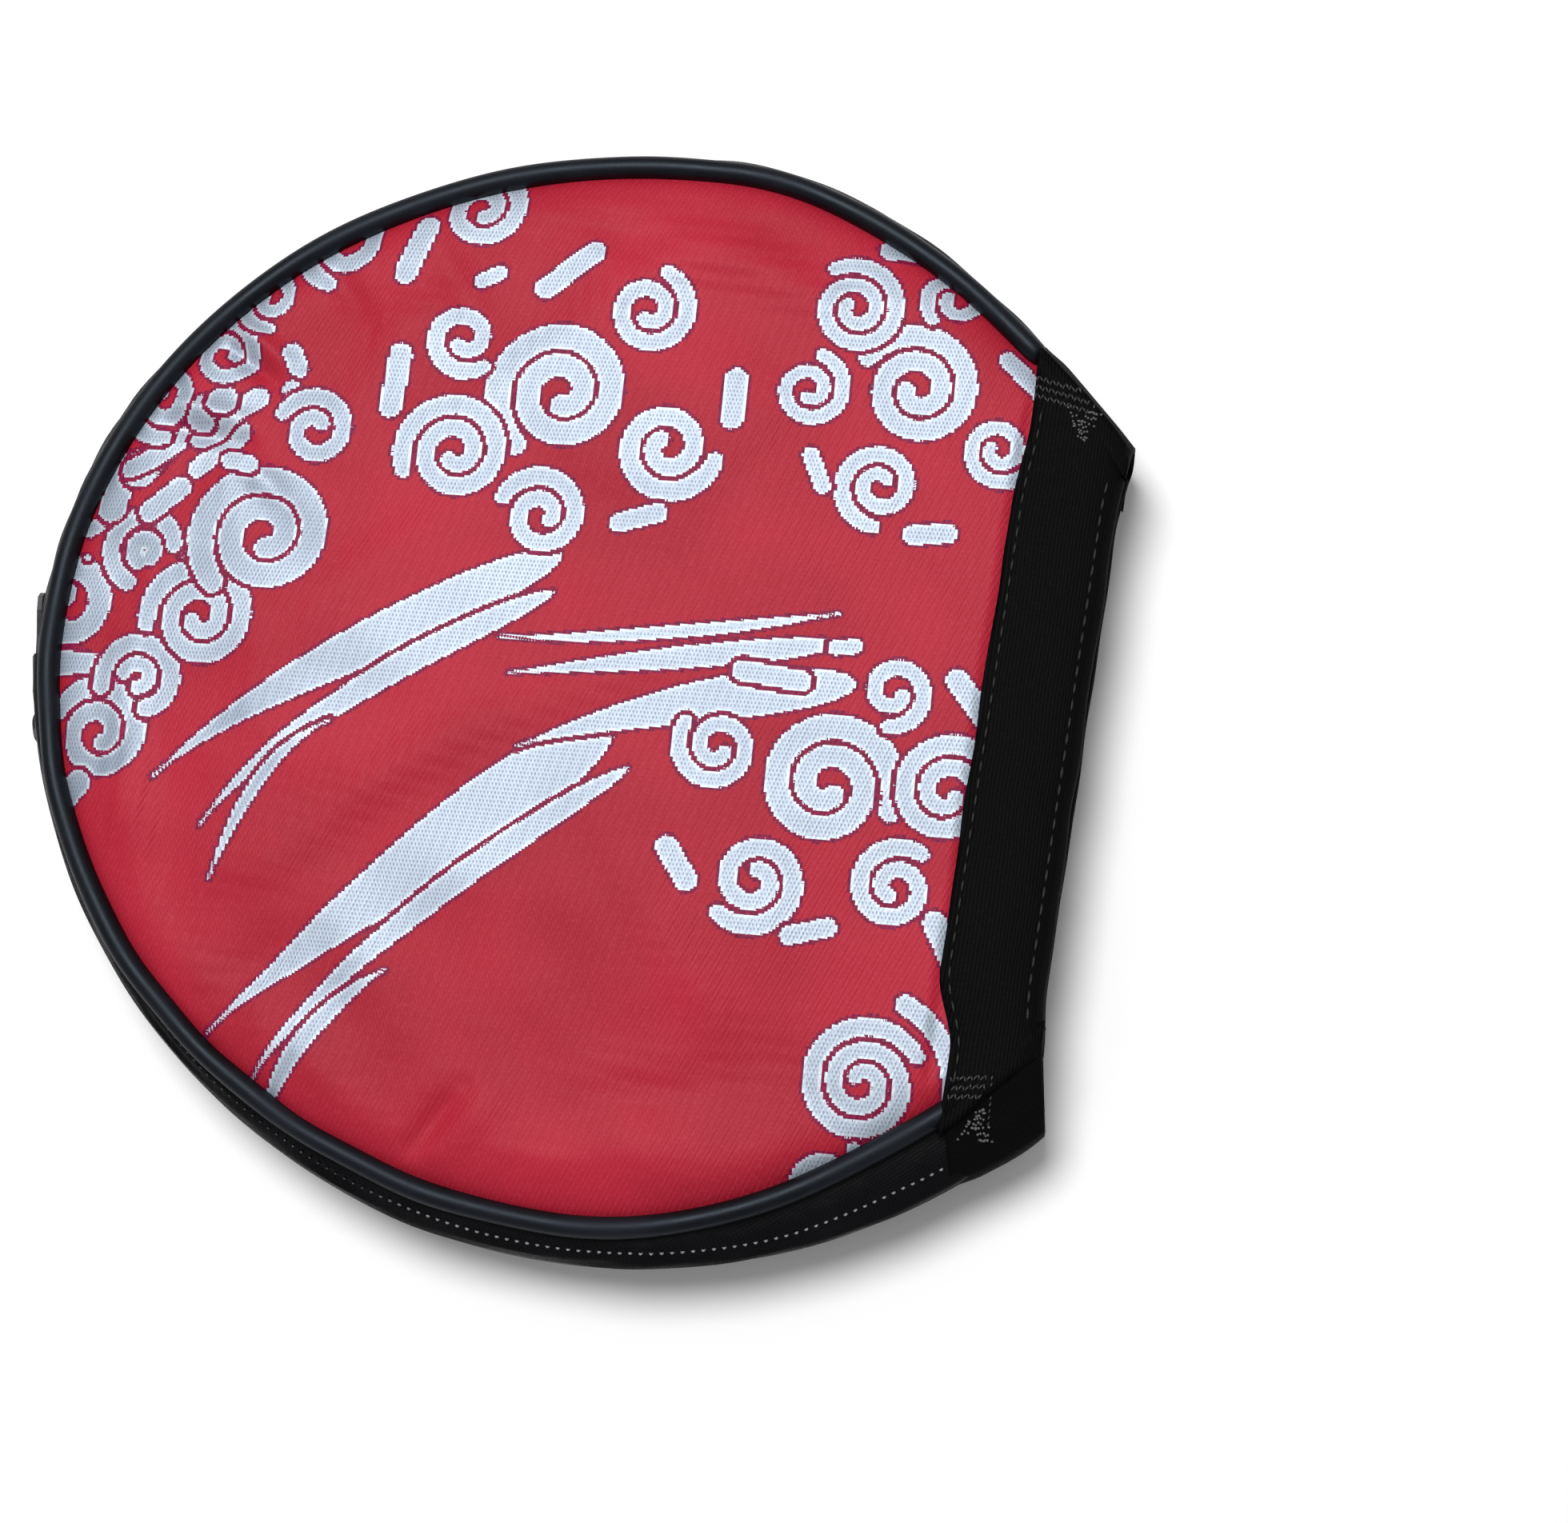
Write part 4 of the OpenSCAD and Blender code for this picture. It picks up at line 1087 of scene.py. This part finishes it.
staple = [(0.35, -2.2), (1.0, -2.3), (1.15, 0), (1.0, 2.3), (0.35, 2.2), (0.5, 0)]
piece("zip_end_staple", *zip_arc(STOP_A, STOP_A + 0.9, staple, 0.45), STOP_METAL, slot="zip_metal",
      stands_for=["zip_bottom_stop"], bevel=0.1)
clip = [(0.3, 0.8), (1.05, 0.9), (1.15, 1.7), (1.05, 2.5), (0.3, 2.6), (0.35, 1.7)]
clips = [zip_arc(ZIP_A0, ZIP_A0 + 0.8, [(a, side * b) for a, b in clip][::-side], 0.4) for side in (-1, 1)]
piece("zip_end_clips", *merge(clips), STOP_METAL, slot="zip_metal", stands_for=["zip_top_stops"], bevel=0.1)
tab = [(0.6, -4.1), (1.5, -4.2), (1.9, -2.5), (2.0, 0), (1.9, 2.5), (1.5, 4.2), (0.6, 4.1), (0.9, 2.5),
       (1.0, 0), (0.9, -2.5)]
piece("zip_end_tab", *zip_arc(TAB_A0, TAB_A1, tab[::-1], 0.95), BINDING, slot="binding",
      stands_for=["zip_end_patch"])


# ---------- slider and pull ----------
def plate_outline(half_l, half_w, nose, r=0.9, steps=5):
    """A shield: full width at the closing end, narrower at the nose, with rounded corners."""
    corners = [(-half_l, -half_w), (half_l, -nose), (half_l, nose), (-half_l, half_w)]
    out = []
    for k, c in enumerate(corners):
        a, b = np.array(corners[k - 1]), np.array(corners[(k + 1) % 4])
        c = np.array(c)
        e0, e1 = c + unit(a - c) * r, c + unit(b - c) * r
        for t in np.linspace(0, 1, steps):
            out.append((1 - t) ** 2 * e0 + 2 * t * (1 - t) * c + t ** 2 * e1)
    return out


def at_slider(v, f):
    """Carries a mesh made about the slider's middle to its place on the zip."""
    return about_zip(v, SLIDER_A), f


def slab_at(x0, x1, outline):
    """A plate between two distances outward from the teeth; the outline holds (along, up) points."""
    v, f = prism(outline, x0, x1)
    return at_slider(np.stack([v[:, 2], v[:, 0], v[:, 1]], -1), f)


def slider():
    parts = [slab_at(1.2, 2.1, plate_outline(4.5, 3.3, 2.6)),
             slab_at(-2.1, -1.2, plate_outline(4.1, 3.3, 2.6))]
    for side in (-1, 1):
        for x0, x1 in ((0.65, 1.3), (-1.3, -0.65)):
            parts.append(at_slider(*box_mesh((x0, -3.0, side * 2.9 - 0.4), (x1, 3.0, side * 2.9 + 0.4))))
    # bridge: a flat bar bent into an arch
    half_t = 0.42
    rings = []
    for t in np.linspace(-1, 1, 15):
        y = 3.1 * t
        rise = 2.05 + 2.2 * (1 - abs(t) ** 3.2) ** 0.55
        rings.append([(rise - half_t, y * 0.86, -0.8), (rise - half_t, y * 0.86, 0.8),
                      (rise + half_t, y, 0.72), (rise + half_t, y, -0.72)])
    parts.append(at_slider(*skin(rings)))
    return piece("slider_casting", *merge(parts), ENAMEL, body="slider", slot="slider",
                 stands_for=["slider_body"], smooth_shade=False, bevel=0.16)


def pull():
    pin_x, pin_r, arm_z, arm_half = 3.1, 0.48, 1.7, 0.45
    blade_y, tilt = -5.7, math.radians(9)         # the blade starts here and leans this much
    # pin under the bridge, and two arms to the blade
    q = np.linspace(0, 2 * np.pi, 16, endpoint=False)
    pin = [[(pin_x + pin_r * math.cos(a), pin_r * math.sin(a), z) for a in q]
           for z in np.linspace(-2.1, 2.1, 7)]
    parts = [at_slider(*skin(pin))]
    for side in (-1, 1):
        parts.append(at_slider(*box_mesh((pin_x - arm_half, -6.0, side * arm_z - arm_half),
                                         (pin_x + arm_half, 0.3, side * arm_z + arm_half))))
    # blade: waisted, with a row of raised grip ridges
    half = [(0.0, 2.2), (2.0, 2.45), (5.0, 1.9), (9.0, 2.0), (13.0, 2.6), (15.2, 2.5), (16.0, 1.6)]
    outline = [(blade_y - a, b) for a, b in half] + [(blade_y - a, -b) for a, b in half[::-1]]
    v, f = prism(outline, -0.42, 0.42)
    flat = [(np.stack([v[:, 2], v[:, 0], v[:, 1]], -1), f)]
    for k in range(5):
        y = -10.2 - 1.3 * k
        flat.append(box_mesh((0.3, y - 0.3, -1.3), (0.62, y + 0.3, 1.3)))
    for v, f in flat:
        along = v[:, 1] - blade_y
        x = v[:, 0] * math.cos(tilt) + along * math.sin(tilt) + pin_x
        y = blade_y + along * math.cos(tilt) - v[:, 0] * math.sin(tilt)
        parts.append(at_slider(np.stack([x, y, v[:, 2]], -1), f))
    return piece("pull_blade", *merge(parts), ENAMEL, body="pull", slot="slider", stands_for=["pull_tab"],
                 smooth_shade=False, bevel=0.14)


slider()
pull()


# ---------- neck binding ----------
def neck_band(word):
    """Tape folded over the neck edge of a panel, puffed slightly by the padding inside."""
    front = word == "front"
    top, low = CASE_H - 0.05, 16.75       # heights of the band's upper side and of its turned-in edge
    outer = [(BAND_Y, top - 0.15), (BAND_Y - 0.4, top + 0.3), (BAND_Y - 3, top + 0.5),
             (BAND_Y - 8, top + 0.55), (BAND_Y - 12.5, top + 0.35), (1.2 - NECK_LEN, top - 0.35),
             (0.25 - NECK_LEN, top - 1.4), (-NECK_LEN, MID_Z + 8.4), (0.2 - NECK_LEN, low + 0.9),
             (1.1 - NECK_LEN, low + 0.15), (4 - NECK_LEN, low - 0.1), (9 - NECK_LEN, low - 0.1),
             (12 - NECK_LEN, low + 0.05)]
    inner = [(BAND_Y + 0.1, top - 0.7), (BAND_Y - 0.4, top - 0.55), (BAND_Y - 3, top - 0.35),
             (BAND_Y - 8, top - 0.3), (BAND_Y - 12.3, top - 0.5), (1.9 - NECK_LEN, top - 1.1),
             (1.2 - NECK_LEN, top - 1.8), (1.0 - NECK_LEN, MID_Z + 8.4), (1.2 - NECK_LEN, low + 1.2),
             (1.8 - NECK_LEN, low + 0.75), (4 - NECK_LEN, low + 0.6), (9 - NECK_LEN, low + 0.6),
             (11.9 - NECK_LEN, low + 0.6)]
    sec = np.array(outer + inner[::-1])
    lowest = np.where(np.arange(len(sec)) < len(outer), 0.42, 1.0)        # keeps both layers off the floor
    w = Ripple(51 if front else 52, 20)
    rings = []
    for b in np.linspace(-1, 1, 81):
        half = half_width(sec[:, 0]) + 0.3
        x = b * half
        z = sec[:, 1] + 0.14 * w(x, sec[:, 0])
        z = z if front else np.maximum(CASE_H - z, lowest)
        y = sec[:, 0] + 0.12 * w(x, 40 + 0 * x)
        rings.append(np.stack([x, y, z], -1))
    rings = spread_corner(rings)
    rings = rings if front else rings[:, ::-1]
    piece("neck_tape_" + word, *skin(rings), BINDING, slot="binding", stands_for=["neck_band_" + word])


neck_band("front")
neck_band("back")

WRAP_T = 0.75                     # thickness of the tape round an end of the mouth
wrap_half = [(0, -3.2, 22.05), (0, -1.6, 22.15), (0, -0.2, 21.95), (0.12, 0.4, 21.2), (0.3, 0.6, 20.2),
             (0.52, 0.8, 19.2), (0.78, 1.0, 18.0), (0.95, 1.1, 16.9), (1, 1.15, 15.6), (1, 1.15, 13.6)]
wrap_chain = wrap_half + [(1, 1.15, MID_Z)] + flip(wrap_half)
wrap_chain = [(f, d, max(z, 0.05 if z < 1 else z)) for f, d, z in wrap_chain]
band_p = even_p(-0.008, p_at(BAND_Y) - 0.010, 1.4)
zip_side_p = even_p(-0.008, p_at(BAND_Y - INNER_PULL - CORNER_PULL) - 0.010, 1.4)


def wrap(side, p, seed):
    """Tape round one end of the mouth, over the gusset's end; its outer part is pulled past the mouth."""
    inside = [(f, d - WRAP_T, z if 1 < z < 21 else min(max(z, 0.5), 21.4)) for f, d, z in wrap_chain]
    sec = chains(wrap_chain, inside)
    zip_side = p.mean() < 1.5
    away = CORNER_P if zip_side else -0.3 * CORNER_P
    mouth, inner = (p[0], p[-1]) if zip_side else (p[-1], p[0])
    from_mouth, from_inner = np.abs(p - mouth) * TAPER_LEN, np.abs(p - inner) * TAPER_LEN
    flare = (CORNER_FLARE if zip_side else 0) * (1 - smooth(from_mouth / 14))
    flare -= 0.6 * (1 - smooth(from_inner / 4))
    columns = []
    for f, d, z in sec:
        q = p - away * f
        columns.append(ring_points(q, [(f, d, z)], gusset_dir(q), bulge(q) + flare)[:, 0])
    rings = np.stack(columns, 1)
    w = Ripple(seed, 16)
    shift = np.stack([w(rings[:, k, 0], rings[:, k, 2] * 2) for k in range(rings.shape[1])], -1)
    rings[..., :2] += gusset_dir(p)[:, None, :] * (0.12 * shift)[..., None]
    rings[..., 2] = MID_Z + (rings[..., 2] - MID_Z) * (1 - 0.09 * (1 - smooth(from_mouth / 3)))[:, None]
    piece("neck_tape_" + side, *skin(rings), BINDING, slot="binding", stands_for=["neck_wrap_" + side])


wrap("zip_side", zip_side_p, 61)
wrap("plain_side", (3 - band_p)[::-1], 62)


# ---------- stitching ----------
ZIP_STITCH = 1.57, 0.4, 0.2       # pitch, the share of it that shows, and the thread's radius
BAND_STITCH = 2.6, 0.72, 0.2
THREAD_LIFT = 0.12                # how far a path of stitches lies above the cloth


def surface_of(*names):
    """A tree for finding the outer surface of some pieces, in millimetres."""
    verts, faces = [], []
    for name in names:
        mesh = bpy.data.objects[name].data
        base = len(verts)
        verts += [v.co / MM for v in mesh.vertices]
        faces += [[base + i for i in f.vertices] for f in mesh.polygons]
    return BVHTree.FromPolygons(verts, faces)


def laid_on(tree, xy, top=True):
    """Points dropped onto a surface from above or below, with its normals. Misses are left out."""
    start, fall = (60, -1) if top else (-60, 1)
    found = [tree.ray_cast(Vector((a, b, start)), Vector((0, 0, fall))) for a, b in xy]
    found = [(q, m if m.z * fall < 0 else -m) for q, m, _, _ in found if q is not None]
    return np.array([q + m * THREAD_LIFT for q, m in found]), np.array([m for _, m in found])


def stitch_row(tree, xy, pitch, share, r, top):
    return stitches(*laid_on(tree, xy, top), pitch, share, r)


def single_stitch(tree, a, b, r):
    """One stitch between two places on a surface seen from above; none where the surface falls away."""
    path, up = laid_on(tree, [a, b])
    level = len(path) == 2 and abs(path[1, 2] - path[0, 2]) < 0.4 and up[:, 2].min() > 0.45
    return [capsule(path[0], path[1], r, up.mean(0))] if level else []


strips = surface_of("zip_strip_front", "neck_tape_zip_side")
under_strips = surface_of("zip_strip_back", "neck_tape_zip_side")
neck = surface_of("neck_tape_front", "neck_tape_zip_side", "neck_tape_plain_side")
under_neck = surface_of("neck_tape_back")
row_p = even_p(p_at(BAND_Y - 5.2), JOIN_P - 0.01, 2.0)
fold_in = np.interp(row_p, [0.25, 0.5], [3.0, 1.6])      # from the strip's fold to its line of stitches
share = np.clip(1 - fold_in / bulge(row_p), 0.3, 0.9)
row_xy = rim(row_p) + gusset_dir(row_p) * (share * bulge(row_p))[:, None]
for tree, top, word in ((strips, True, "front"), (under_strips, False, "back")):
    parts = stitch_row(tree, row_xy, *ZIP_STITCH, top)
    # their thread is painted light grey near the neck as glints
    piece("zip_stitches_" + word, *merge(parts), GLINT_THREAD, slot="thread")


def across_band(y):
    half = half_width(y) - 6
    return spread_corner([(x, y) for x in np.linspace(-half, half, 60)])


for tree, top, word in ((neck, True, "front"), (under_neck, False, "back")):
    parts = stitch_row(tree, across_band(BAND_Y - 1.5), *BAND_STITCH, top)
    parts += stitch_row(tree, across_band(BAND_Y - 13.5), *BAND_STITCH, top)
    piece("band_stitches_" + word, *merge(parts), DARK_THREAD, slot="thread")


def tacks(side, word):
    """Dense rows of stitches that lock the end of the piping under the band, and a knot of them below."""
    x0 = half_width(BAND_Y - 2.4) - 2.8
    thread_r, knot_r = 0.17, 0.22
    rng = np.random.default_rng(5)

    def sew(x, y, dx, dy, r):
        return single_stitch(neck, (side * (x - dx), y - dy), (side * (x + dx), y + dy), r)
    rows = []
    for row in range(3):
        for k in range(17):
            rows += sew(x0 - 1.35 * row - 0.10 * k + rng.uniform(-0.12, 0.12), BAND_Y - 1.2 - 0.5 * k,
                        0.42, 0.3 if k % 2 else -0.1, thread_r)
    for k in range(8):
        rows += sew(x0 - 4.4 + 0.95 * k, BAND_Y - 10.1 - 0.05 * k, 0.34, 0.1, thread_r)
    piece("tack_rows_" + word, *merge(rows), TACK_THREAD, slot="thread", stands_for=["bar_tacks_" + word])
    knot = []
    inner_x = x0 + 0.2 if side < 0 else x0 - 9.0
    for k in range(46):
        up = rng.uniform(0, 1) ** 0.8
        x = inner_x + 5.2 * up
        y = BAND_Y - 9.0 + rng.uniform(-1, 1) * (0.5 + 2.3 * up)
        turn = rng.uniform(-1.6, 1.6)
        knot += sew(x, y, 0.18 * math.cos(turn), 0.18 * math.sin(turn), knot_r)
    # the knot's thread is painted grey as glints
    piece("tack_knot_" + word, *merge(knot), KNOT_GLINT_THREAD, slot="thread")


tacks(-1, "zip_side")
tacks(1, "plain_side")

for name in ("front_piping_cord", "back_piping_cord"):
    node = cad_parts[name]
    node.data.materials.clear()
    node.data.materials.append(CORD)


# ---------- stage ----------
def floor():
    n, size = 24, 1.6             # size in metres
    g = np.linspace(-size, size, n)
    verts = [(x, y, 0.0) for x in g for y in g]
    corners = [i * n + j for i in range(n - 1) for j in range(n - 1)]
    faces = [(k, k + n, k + n + 1, k + 1) for k in corners]
    obj = mesh_object("floor", verts, faces, 1.0)
    obj.data.materials.append(floor_paint())


floor()


LIGHT_PLACE, LIGHT_SIZE, LIGHT_POWER = (0.24, 0.15, 1.0), 0.44, 9.8       # metres and watts
SKY_LEVEL = 0.43                  # strength of the even white light from all round


def window():
    """A round area light that looks at the case's origin."""
    light = bpy.data.lights.new("window", "AREA")
    light.shape = "DISK"
    light.size = LIGHT_SIZE
    light.energy = LIGHT_POWER
    obj = placed("window", light)
    obj.location = LIGHT_PLACE
    obj.rotation_euler = (-Vector(LIGHT_PLACE)).to_track_quat("-Z", "Y").to_euler()


window()

world = bpy.data.worlds.new("studio")
world.use_nodes = True
world.node_tree.nodes["Background"].inputs[0].default_value = (1, 1, 1, 1)
world.node_tree.nodes["Background"].inputs[1].default_value = SKY_LEVEL
bpy.context.scene.world = world
bpy.context.scene.view_settings.view_transform = "Standard"

# ---------- camera ----------
CAM_PLACE = (-0.06548, -0.06987, 0.44073)         # metres
CAM_TURN = (8.652, 5.558, -80.735)                # degrees
CAM_LENS = 64.74                  # millimetres, on a sensor 36 wide


def camera():
    """Looks down on the case with the neck to the right, leaning to the neck and to the zip side."""
    data = bpy.data.cameras.new("camera")
    data.sensor_width = 36
    data.lens = CAM_LENS
    obj = placed("camera", data)
    obj.location = CAM_PLACE
    obj.rotation_euler = [math.radians(a) for a in CAM_TURN]
    bpy.context.scene.camera = obj


camera()
